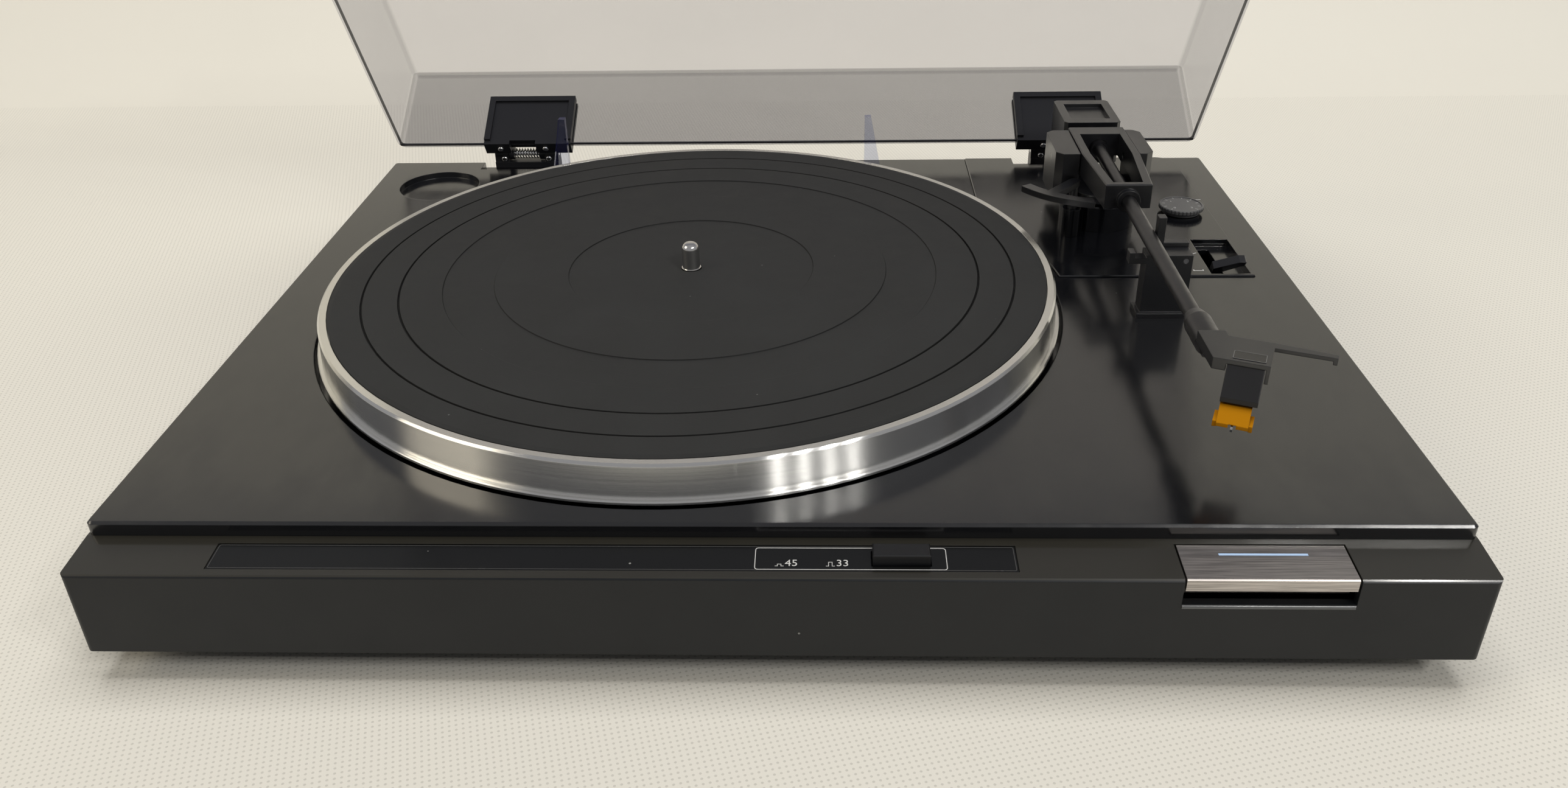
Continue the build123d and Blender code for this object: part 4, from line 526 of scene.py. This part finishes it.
def band(path, width, low, high, closed=False):
    """A flat line of ink: a path of (x, y) points given a width by offsetting along its mitred normals."""
    path = np.asarray(path, float)
    count = len(path)
    ahead = np.roll(path, -1, 0) - path
    if not closed:
        ahead[-1] = ahead[-2]
    ahead /= np.linalg.norm(ahead, axis=1)[:, None]
    behind = np.roll(ahead, 1, 0)
    if not closed:
        behind[0] = ahead[0]
    both = ahead + behind
    mitre = np.stack([-both[:, 1], both[:, 0]], 1)
    mitre /= (np.linalg.norm(mitre, axis=1) ** 2 / 2)[:, None]
    left, right = path + mitre * width / 2, path - mitre * width / 2
    corners = ((left, low), (right, low), (right, high), (left, high))
    points = np.concatenate([np.column_stack([side, np.full(count, z)]) for side, z in corners])
    here = np.arange(count if closed else count - 1)
    there = (here + 1) % count
    faces = []
    for a in range(4):
        b = (a + 1) % 4
        faces += np.stack([a * count + here, a * count + there, b * count + there, b * count + here], 1).tolist()
    if not closed:
        faces += [[0, count, 2 * count, 3 * count], [c * count + count - 1 for c in (3, 2, 1, 0)]]
    return points, faces


def rounded(left, right, low, high, radius):
    """A rectangle's outline, counter-clockwise, with a quarter circle of five points at each corner."""
    turn = np.linspace(0, pi / 2, 5)
    outline = []
    for corner, (x, y) in enumerate(((right, high), (left, high), (left, low), (right, low))):
        way = turn + corner * pi / 2
        inward = np.array([np.sign(left + right - 2 * x), np.sign(low + high - 2 * y)]) * radius
        outline.append(np.stack([np.cos(way), np.sin(way)], 1) * radius + (x, y) + inward)
    return np.concatenate(outline)


def gather(shapes):
    """Several (points, faces) shapes as one."""
    points, faces, start = [], [], 0
    for own_points, own_faces in shapes:
        points.append(own_points)
        faces += [[start + i for i in face] for face in own_faces]
        start += len(own_points)
    return np.vstack(points), faces


def shifted(shape, x, y, z):
    """A shape moved by that much."""
    points, faces = shape
    return points + (x, y, z), faces


def lay(shape, origin, x_axis, y_axis):
    """A shape put on a plane: x and y along two directions, height along their normal."""
    points, faces = shape
    return np.asarray(origin, float) + points @ np.stack([x_axis, y_axis, np.cross(x_axis, y_axis)]), faces


def ink_text(words, size, thickness):
    """Lettering as a closed shape that stands on its plane, centred: a filled text outline."""
    curve = bpy.data.curves.new("lettering", "FONT")
    curve.body = words
    curve.size = size
    curve.extrude = thickness / 2
    curve.align_x = "CENTER"
    curve.align_y = "CENTER"
    curve.resolution_u = 3
    made = bpy.data.objects.new("lettering", curve)
    bpy.context.scene.collection.objects.link(made)
    bpy.context.view_layer.update()
    mesh = bpy.data.meshes.new_from_object(made.evaluated_get(bpy.context.evaluated_depsgraph_get()))
    shape = mesh_points(mesh).astype(float), [list(p.vertices) for p in mesh.polygons]
    bpy.data.objects.remove(made)
    bpy.data.curves.remove(curve)
    bpy.data.meshes.remove(mesh)
    return shifted(shape, 0, 0, thickness / 2)


def colour_property(name, description, default):
    return FloatVectorProperty(name=name, description=description, subtype="COLOR", default=default, min=0, max=1)


def length_property(name, description, default):
    return FloatProperty(name=name, description=description, default=default, unit="LENGTH")


def angle_property(name, description, default):
    return FloatProperty(name=name, description=description, default=default, unit="ROTATION")


class FinishSettings(bpy.types.PropertyGroup):
    """Colours of what shows most"""

    body: colour_property("Body", "Plinth plastic", (0.0052, 0.0064, 0.008))
    deck: colour_property("Deck", "Deck and panel plastic", (0.0036, 0.0039, 0.0052))
    arm: colour_property("Arm", "Arm plastic", (0.005, 0.0053, 0.0068))
    mat: colour_property("Mat", "Slip mat rubber", (0.02, 0.0206, 0.0208))
    metal: colour_property("Platter", "Turned platter metal", (0.86, 0.855, 0.83))
    key: colour_property("Key", "Return key metal", (0.5, 0.465, 0.44))
    stylus: colour_property("Stylus", "Stylus holder plastic", (0.4, 0.165, 0.002))


class MarkSettings(bpy.types.PropertyGroup):
    """The printing"""

    ink: colour_property("Ink", "Printing on the strip, panel and dial", (0.6, 0.6, 0.59))
    line: length_property("Line", "Width of printed lines", 0.26 * MM)
    lift: length_property("Lift", "Thickness of the ink", 0.06 * MM)
    digits: length_property("Digits", "Height of the speed figures", 4 * MM)


class StudioSettings(bpy.types.PropertyGroup):
    """Floor, room light and camera"""

    floor: colour_property("Floor", "Floor and backdrop", (0.71, 0.69, 0.63))
    room: colour_property("Room", "Light of the room", (0.97, 0.97, 1.0))
    fill: FloatProperty(name="Fill", description="Strength of the room's light", default=0.14)
    sight: FloatProperty(name="Sight", description="Strength of the room as seen and mirrored", default=0.3)
    eye: FloatVectorProperty(
        name="Camera",
        description="Camera position from the middle of the plinth",
        subtype="XYZ",
        unit="LENGTH",
        default=(0.01708, -0.46522, 0.27557),
    )
    pitch: angle_property("Pitch", "Camera's downward tilt", 0.5269)
    yaw: angle_property("Yaw", "Camera's turn to the right", -0.0383)
    roll: angle_property("Roll", "Camera's roll", -0.02)
    lens: FloatProperty(name="Lens", description="Focal length on a 36 mm sensor", default=28.671, unit="CAMERA")


class RECORD_OT_cabinet(bpy.types.Operator):
    """Finish the plinth, deck, panel, strip, feet and cover"""

    bl_idname = "record.cabinet"
    bl_label = "Cabinet"

    def execute(self, context):
        paint = context.scene.record_finish
        satin = moulded(
            "plinth_satin",
            paint.body,
            gloss=0.42,
            dust=0.004,
            edge=0.5 * MM,
            shine=0.38,
            # Above that height the ledge gets a clear coat and a painted reflection of the warm wall in its colour
            upper=(LEDGE_SHINE_FROM, 0.8),
        )
        wear(satin, "plinth")
        deck = moulded(
            "deck_satin", paint.deck, gloss=0.19, depth=0.004 * MM, dust=0.003, edge=0.5 * MM, shine=1.0
        )
        wear(deck, "deck")
        panel = moulded("panel_gloss", paint.deck, gloss=0.16, depth=0.002 * MM, dust=0.003, shine=0.9)
        wear(panel, "arm_panel")
        strip = moulded("strip_gloss", (0.004, 0.0043, 0.0043), gloss=0.18, depth=0.002 * MM, dust=0.003)
        wear(strip, "control_strip")
        under = moulded("underside", paint.body, gloss=0.6)
        wear(under, "bottom_cover", "feet", "lead_bushings", "speed_switch")
        pads = rubber("pad_rubber", (0.02, 0.02, 0.021))
        wear(pads, "foot_pads", "motor_grommets", "drive_belt", "lid_bumpers")
        return {"FINISHED"}


class RECORD_OT_platter(bpy.types.Operator):
    """Finish the platter, mat, spindle and what drives them"""

    bl_idname = "record.platter"
    bl_label = "Platter and drive"

    def execute(self, context):
        paint = context.scene.record_finish
        wear(turned_metal("platter_turned", paint.metal, gloss=0.17, axis=PLATTER_AXIS), "platter")
        wear(rubber("mat_rubber", paint.mat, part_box("slip_mat")[1].z - MAT_GROOVE_DEPTH), "slip_mat")
        steel = polished_metal("bright_steel", (0.78, 0.77, 0.75), gloss=0.1)
        wear(steel, "spindle", "thrust_ball", "swivel_shaft", "motor_shaft", "cam_post", "pivot_pins")
        plated = polished_metal("plated_steel", (0.55, 0.55, 0.53), gloss=0.3)
        wear(plated, "cover_screws", "motor", "motor_bracket", "transformer", "earth_terminal", "balance_slug")
        brass = polished_metal("turned_brass", (0.7, 0.5, 0.22), gloss=0.22)
        wear(brass, "spindle_bearing", "arm_sleeve", "pulley")
        wear(moulded("gear_white", (0.7, 0.7, 0.66), gloss=0.4), "cam_gear", "hub_pinion")
        wear(moulded("board_green", (0.03, 0.12, 0.05), gloss=0.35), "circuit_board")
        wear(moulded("sleeve_black", (0.02, 0.02, 0.025), gloss=0.3), "capacitors")
        return {"FINISHED"}


class RECORD_OT_arm(bpy.types.Operator):
    """Finish the tonearm, its base, rest, lifter and controls, the speed button and the return key"""

    bl_idname = "record.arm"
    bl_label = "Tonearm and controls"

    def execute(self, context):
        paint = context.scene.record_finish
        shell = moulded("arm_satin", paint.arm, gloss=0.32, depth=0.008 * MM, shine=0.9)
        wear(shell, "yoke", "arm_frame", "counterweight", "headshell")
        wear(shell, "arm_rest", "arm_latch", "arm_lifter", "cue_lever")
        wear(moulded("base_gloss", paint.deck, gloss=0.14, depth=0.002 * MM), "arm_base")
        wear(moulded("button_satin", paint.deck, gloss=0.4), "speed_button")
        tube = polished_metal("tube_dark", (0.09, 0.09, 0.095), gloss=0.3)
        wear(tube, "arm_tube", "ferrule", "weight_stub")
        wear(polished_metal("screw_dark", (0.2, 0.2, 0.2), gloss=0.3), "pivot_screws")
        wear(moulded("dial_grey", (0.1, 0.1, 0.1), gloss=0.4), "skating_dial")
        wear(moulded("cartridge_black", (0.008, 0.008, 0.009), gloss=0.4), "cartridge")
        amber = moulded("stylus_amber", paint.stylus, gloss=0.45, depth=0.003 * MM, shine=0.1)
        wear(amber, "stylus_holder")
        wear(polished_metal("stylus_metal", (0.7, 0.7, 0.7), gloss=0.2), "stylus")
        wear(brushed_metal("key_brushed", paint.key, gloss=0.4, stretch=(0.02, 1, 1)), "return_key")
        return {"FINISHED"}


class RECORD_OT_lid(bpy.types.Operator):
    """Finish the lid, hinges and clear posts"""

    bl_idname = "record.lid"
    bl_label = "Lid and hinges"

    def execute(self, context):
        # The lid's smoke carries painted shade along its folds, rim and back wall
        smoke = clear_plastic(
            "lid_smoke",
            tint=(0.9, 0.898, 0.918),
            body=(0.04, 0.04, 0.042),
            veil=0.03,
            slant=0.5,
            edges=lid_painted_shade,
        )
        wear(smoke, "lid")
        post = clear_plastic("post_clear", tint=(0.9, 0.92, 0.99), body=(0.03, 0.03, 0.16), veil=0.08, slant=1.0)
        wear(post, "clear_posts")
        hinge = moulded("hinge_black", (0.016, 0.0165, 0.019), gloss=0.4, shine=0.3)
        wear(hinge, "hinge_bases", "hinge_brackets")
        bright = polished_metal("hinge_bright", (0.8, 0.8, 0.8), gloss=0.12)
        wear(bright, "hinge_pins", "hinge_springs", "hinge_rivets", "bracket_rivets")
        return {"FINISHED"}


class RECORD_OT_marks(bpy.types.Operator):
    """Print the marks, and lay the strip's bead, the bare name plate, the key's bar and the notch's lip; the bead and
    the lip are pale as painted highlights and the bar is a painted reflection
    """

    bl_idname = "record.marks"
    bl_label = "Marks and trim"

    def execute(self, context):
        marks = context.scene.record_marks
        ink = moulded("print_ink", marks.ink, gloss=0.5)
        self.strip(ink, marks)
        self.panel(ink, marks)
        self.dial(ink, marks)
        self.headshell()
        self.key()
        self.notch()
        return {"FINISHED"}

    def strip(self, ink, marks):
        """The speeds' frame, figures and raised or pressed button signs, and the bead round the strip, pale as a
        painted highlight.
        """
        low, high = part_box("control_strip")
        middle, half = (low + high) / 2, (high - low) / 2
        top = np.array([0, middle.y, middle.z]) + STRIP_THICKNESS / 2 * LEDGE_UP
        shapes = [band(rounded(*SPEED_FRAME, SPEED_FRAME_CORNER), marks.line, 0, marks.lift, closed=True)]
        for figure, x in SPEED_FIGURES:
            shapes.append(shifted(ink_text(figure, marks.digits, marks.lift), x, SPEED_FIGURE_Y, 0))
        for x, rise in SPEED_SIGNS:
            path = np.column_stack([SPEED_SIGN_STEPS, np.array([0, 0, rise, rise, 0, 0])])
            shapes.append(band(path + (x, SPEED_SIGN_Y), marks.line * SPEED_SIGN_LINE, 0, marks.lift))
        piece("speed_marks", lay(gather(shapes), top, RIGHT, LEDGE_BACK), "base", ink)
        width, depth = half.x - BEAD_INSET, half.y - BEAD_INSET
        outline = rounded(-width, width, -depth, depth, BEAD_CORNER)
        bead = shifted(band(outline, BEAD_WIDTH, 0, marks.lift, closed=True), middle.x, 0, 0)
        # Painted highlight: the bead is pale grey for the light that the strip's edge catches
        pale = moulded("strip_bead_highlight", (0.07, 0.07, 0.07), gloss=0.25)
        piece("strip_bead_highlight", lay(bead, top, RIGHT, LEDGE_BACK), "base", pale)

    def panel(self, ink, marks):
        """Two small lever signs by the cue slot and the dial's index line."""
        signs = gather(
            band((np.array(path) + place) * MM, PANEL_LINE, 0, marks.lift) for path, place in PANEL_SIGNS
        )
        seat = (0, MIDDLE_Y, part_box("arm_panel")[1].z)
        piece("panel_signs", lay(signs, seat, RIGHT, BACK), "base", ink)

    def dial(self, ink, marks):
        """Ticks on rays of the dial over three quarters of a turn, and a figure at each third tick."""
        shapes = []
        for step in range(DIAL_TICKS):
            way = DIAL_START - DIAL_STEP * step
            ray = np.array([cos(way), sin(way)])
            shapes.append(band(np.outer(DIAL_TICK_ENDS, ray), DIAL_LINE, 0, marks.lift))
            if step % DIAL_FIGURE_EVERY == 0:
                figure = ink_text(str(step // DIAL_FIGURE_EVERY), DIAL_FIGURE_SIZE, marks.lift)
                shapes.append(shifted(figure, *(ray * DIAL_FIGURE_RADIUS), 0))
        seat = (DIAL_AXIS.x, DIAL_AXIS.y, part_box("skating_dial")[1].z - DIAL_RIM)
        piece("dial_marks", lay(gather(shapes), seat, RIGHT, BACK), "dial", ink)

    def headshell(self):
        """A bare name plate on the headshell: a thin rounded slab with a fine raised edge."""
        along = (cos(PLATE_TURN), sin(PLATE_TURN), 0)
        across = (-sin(PLATE_TURN), cos(PLATE_TURN), 0)
        seat = (PLATE_X, MIDDLE_Y + PLATE_Y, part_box("headshell")[1].z)
        length, width = PLATE_HALF
        outline = rounded(-length, length, -width, width, PLATE_CORNER)
        gloss = moulded("plate_gloss", (0.006, 0.006, 0.007), gloss=0.2, depth=0.002 * MM)
        slab = lay(prism(outline, 0, PLATE_THICKNESS), seat, along, across)
        piece("name_plate", slab, "tonearm", gloss)
        edge = band(
            outline * PLATE_EDGE_SHARE,
            PLATE_EDGE_WIDTH,
            PLATE_THICKNESS,
            PLATE_THICKNESS + PLATE_EDGE_RISE,
            closed=True,
        )
        pale = moulded("plate_edge", (0.16, 0.16, 0.16), gloss=0.3)
        piece("plate_edge", lay(edge, seat, along, across), "tonearm", pale)

    def key(self):
        """A pale blue bar on the return key, a painted reflection of a window."""
        height = FASCIA_TOP + (BAR_BACK + KEY_GAP) * LEDGE_RISE / LEDGE_DEPTH
        seat = (0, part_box("return_key")[0].y + BAR_BACK, height)
        outline = [
            (BAR_LEFT, -BAR_HALF_WIDTH),
            (BAR_RIGHT, -BAR_HALF_WIDTH),
            (BAR_RIGHT, BAR_HALF_WIDTH),
            (BAR_LEFT, BAR_HALF_WIDTH),
        ]
        bar = lay(prism(outline, -BAR_SUNK, BAR_PROUD), seat, RIGHT, LEDGE_BACK)
        # Painted reflection: the pale blue bar stands in for a window mirrored in the key
        piece("key_painted_reflection", bar, "key", moulded("key_reflection_blue", (0.42, 0.58, 0.82), gloss=0.3))

    def notch(self):
        """The half-round lip along the foot of the key's notch, on the fascia, far paler than the plinth as a painted
        highlight.
        """
        way = np.linspace(-pi / 2, pi / 2, 9)
        outline = np.stack([LIP_REACH * np.cos(way), LIP_HALF_HEIGHT * np.sin(way)], -1)
        seat = (LIP_RIGHT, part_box("plinth")[0].y, LIP_Z)
        lip = lay(prism(outline, 0, LIP_LENGTH), seat, (0, -1, 0), UP)
        # Painted highlight: the lip is far paler than the plinth, for the light its edge catches
        gloss = moulded("lip_painted_highlight", (0.1, 0.105, 0.11), gloss=0.22, edge=0)
        piece("notch_highlight_lip", lip, "base", gloss)


class RECORD_OT_stage(bpy.types.Operator):
    """Set up the floor, backdrop, lamps and camera"""

    bl_idname = "record.stage"
    bl_label = "Studio"

    def execute(self, context):
        scene = context.scene
        studio = scene.record_studio
        scene.view_settings.view_transform = "Standard"
        self.backdrop(studio)
        self.room(scene, studio)
        self.lamps(scene)
        self.camera(scene, studio)
        return {"FINISHED"}

    def backdrop(self, studio):
        """The floor, the sweep and the wall in one sheet of dotted cloth, clear when seen from behind."""
        sweep = np.linspace(0, pi / 2, SWEEP_ROWS)
        wall = SWEEP_FOOT + SWEEP_RADIUS
        run = np.concatenate([FLOOR_RUN, SWEEP_FOOT + SWEEP_RADIUS * np.sin(sweep), [wall]])
        rise = np.concatenate([np.zeros(len(FLOOR_RUN)), SWEEP_RADIUS - SWEEP_RADIUS * np.cos(sweep), [WALL_TOP]])
        across = np.linspace(-FLOOR_HALF_WIDTH, FLOOR_HALF_WIDTH, FLOOR_COLUMNS)
        rows, columns = len(run), len(across)
        points = np.column_stack([np.tile(across, rows), np.repeat(run, columns), np.repeat(rise, columns)])
        sheet = new_object("backdrop", points, grid_faces(rows, columns, wrap=False), self.cloth(studio.floor))
        sheet.data.polygons.foreach_set("use_smooth", [True] * len(sheet.data.polygons))

    def cloth(self, colour):
        """Pale cloth with fine dots pressed in where it lies level."""
        f = Finish("backdrop_cloth")
        cloud = f.noise(size=0.25, detail=3.0)
        u, v, w = f.axes(f.place(turn=(0, 0, 0.5), stretch=(tau / DOT_PITCH,) * 3))
        dots = (f.maths("SINE", u) * f.maths("SINE", v)).ease(0.45, 0.85) * (w < 1.0)
        shade = f.blend(cloud * 0.5 + 0.25, tone(colour, 0.94), tone(colour, 1.04))
        shade = f.blend(dots * 0.5, shade, tone(colour, 0.55))
        face = f.skin(Base_Color=shade, Roughness=0.9, Normal=f.relief(dots, depth=-0.2 * MM, strength=0.3))
        behind = f.wire(f.node("ShaderNodeNewGeometry"), "Backfacing")
        return f.mix(behind, face, f.node("ShaderNodeBsdfTransparent"))

    def room(self, scene, studio):
        """The room's light, stronger where it is seen, mirrored or seen through."""
        world = bpy.data.worlds.new("room")
        scene.world = world
        world.use_nodes = True
        nodes, links = world.node_tree.nodes, world.node_tree.links
        light = nodes["Background"]
        light.inputs["Color"].default_value = tone(studio.room)
        ray = nodes.new("ShaderNodeLightPath")
        seen = ray.outputs["Is Camera Ray"]
        for kind in ("Is Glossy Ray", "Is Transmission Ray"):
            either = nodes.new("ShaderNodeMath")
            either.operation = "MAXIMUM"
            links.new(seen, either.inputs[0])
            links.new(ray.outputs[kind], either.inputs[1])
            seen = either.outputs[0]
        level = nodes.new("ShaderNodeMapRange")
        level.inputs["To Min"].default_value = studio.fill
        level.inputs["To Max"].default_value = studio.sight
        links.new(seen, level.inputs["Value"])
        links.new(level.outputs["Result"], light.inputs["Strength"])

    def lamps(self, scene):
        """The lamps, each turned to its aim."""
        for lamp in LAMPS:
            light = bpy.data.lights.new(lamp.name, "AREA")
            light.shape = "RECTANGLE"
            light.size, light.size_y = lamp.size
            light.energy = lamp.power
            light.color = lamp.colour
            made = bpy.data.objects.new(lamp.name, light)
            made.location = lamp.place
            made.rotation_euler = (Vector(lamp.aim) - Vector(lamp.place)).to_track_quat("-Z", "Y").to_euler()
            made.visible_glossy = lamp.mirrored
            scene.collection.objects.link(made)

    def camera(self, scene, studio):
        """The camera, from its place and its pitch, yaw and roll."""
        camera = bpy.data.cameras.new("camera")
        camera.sensor_fit = "HORIZONTAL"
        camera.sensor_width = 36.0
        camera.lens = studio.lens
        camera.clip_start = 0.01
        level = cos(studio.pitch)
        ahead = Vector((sin(studio.yaw) * level, cos(studio.yaw) * level, -sin(studio.pitch)))
        right = Vector((cos(studio.yaw), -sin(studio.yaw), 0))
        up = right.cross(ahead)
        rolled_right = cos(studio.roll) * right + sin(studio.roll) * up
        rolled_up = cos(studio.roll) * up - sin(studio.roll) * right
        eye = Vector(studio.eye) + Vector((0, MIDDLE_Y, 0))
        turn = Matrix((rolled_right, rolled_up, -ahead)).transposed().to_4x4()
        view = bpy.data.objects.new("camera", camera)
        view.matrix_world = Matrix.Translation(eye) @ turn
        scene.collection.objects.link(view)
        scene.camera = view


OPERATORS = (
    RECORD_OT_cabinet,
    RECORD_OT_platter,
    RECORD_OT_arm,
    RECORD_OT_lid,
    RECORD_OT_marks,
    RECORD_OT_stage,
)
SETTINGS = {
    "record_finish": FinishSettings,
    "record_marks": MarkSettings,
    "record_studio": StudioSettings,
}


class RECORD_PT_panel(bpy.types.Panel):
    """Every step of the record player, with the values behind it"""

    bl_label = "Record Player"
    bl_idname = "RECORD_PT_panel"
    bl_space_type = "VIEW_3D"
    bl_region_type = "UI"
    bl_category = "Record Player"

    def draw(self, context):
        for operator in OPERATORS:
            self.layout.operator(operator.bl_idname)
        for name, group in SETTINGS.items():
            box = self.layout.box()
            for key in group.__annotations__:
                box.prop(getattr(context.scene, name), key)


def register():
    for group in SETTINGS.values():
        bpy.utils.register_class(group)
    for name, group in SETTINGS.items():
        setattr(bpy.types.Scene, name, PointerProperty(type=group))
    for operator in OPERATORS:
        bpy.utils.register_class(operator)
    bpy.utils.register_class(RECORD_PT_panel)


def unregister():
    bpy.utils.unregister_class(RECORD_PT_panel)
    for operator in reversed(OPERATORS):
        bpy.utils.unregister_class(operator)
    for name in SETTINGS:
        delattr(bpy.types.Scene, name)
    for group in SETTINGS.values():
        bpy.utils.unregister_class(group)


def main():
    register()
    for operator in OPERATORS:
        group, call = operator.bl_idname.split(".")
        getattr(getattr(bpy.ops, group), call)()


if __name__ == "__main__":
    main()
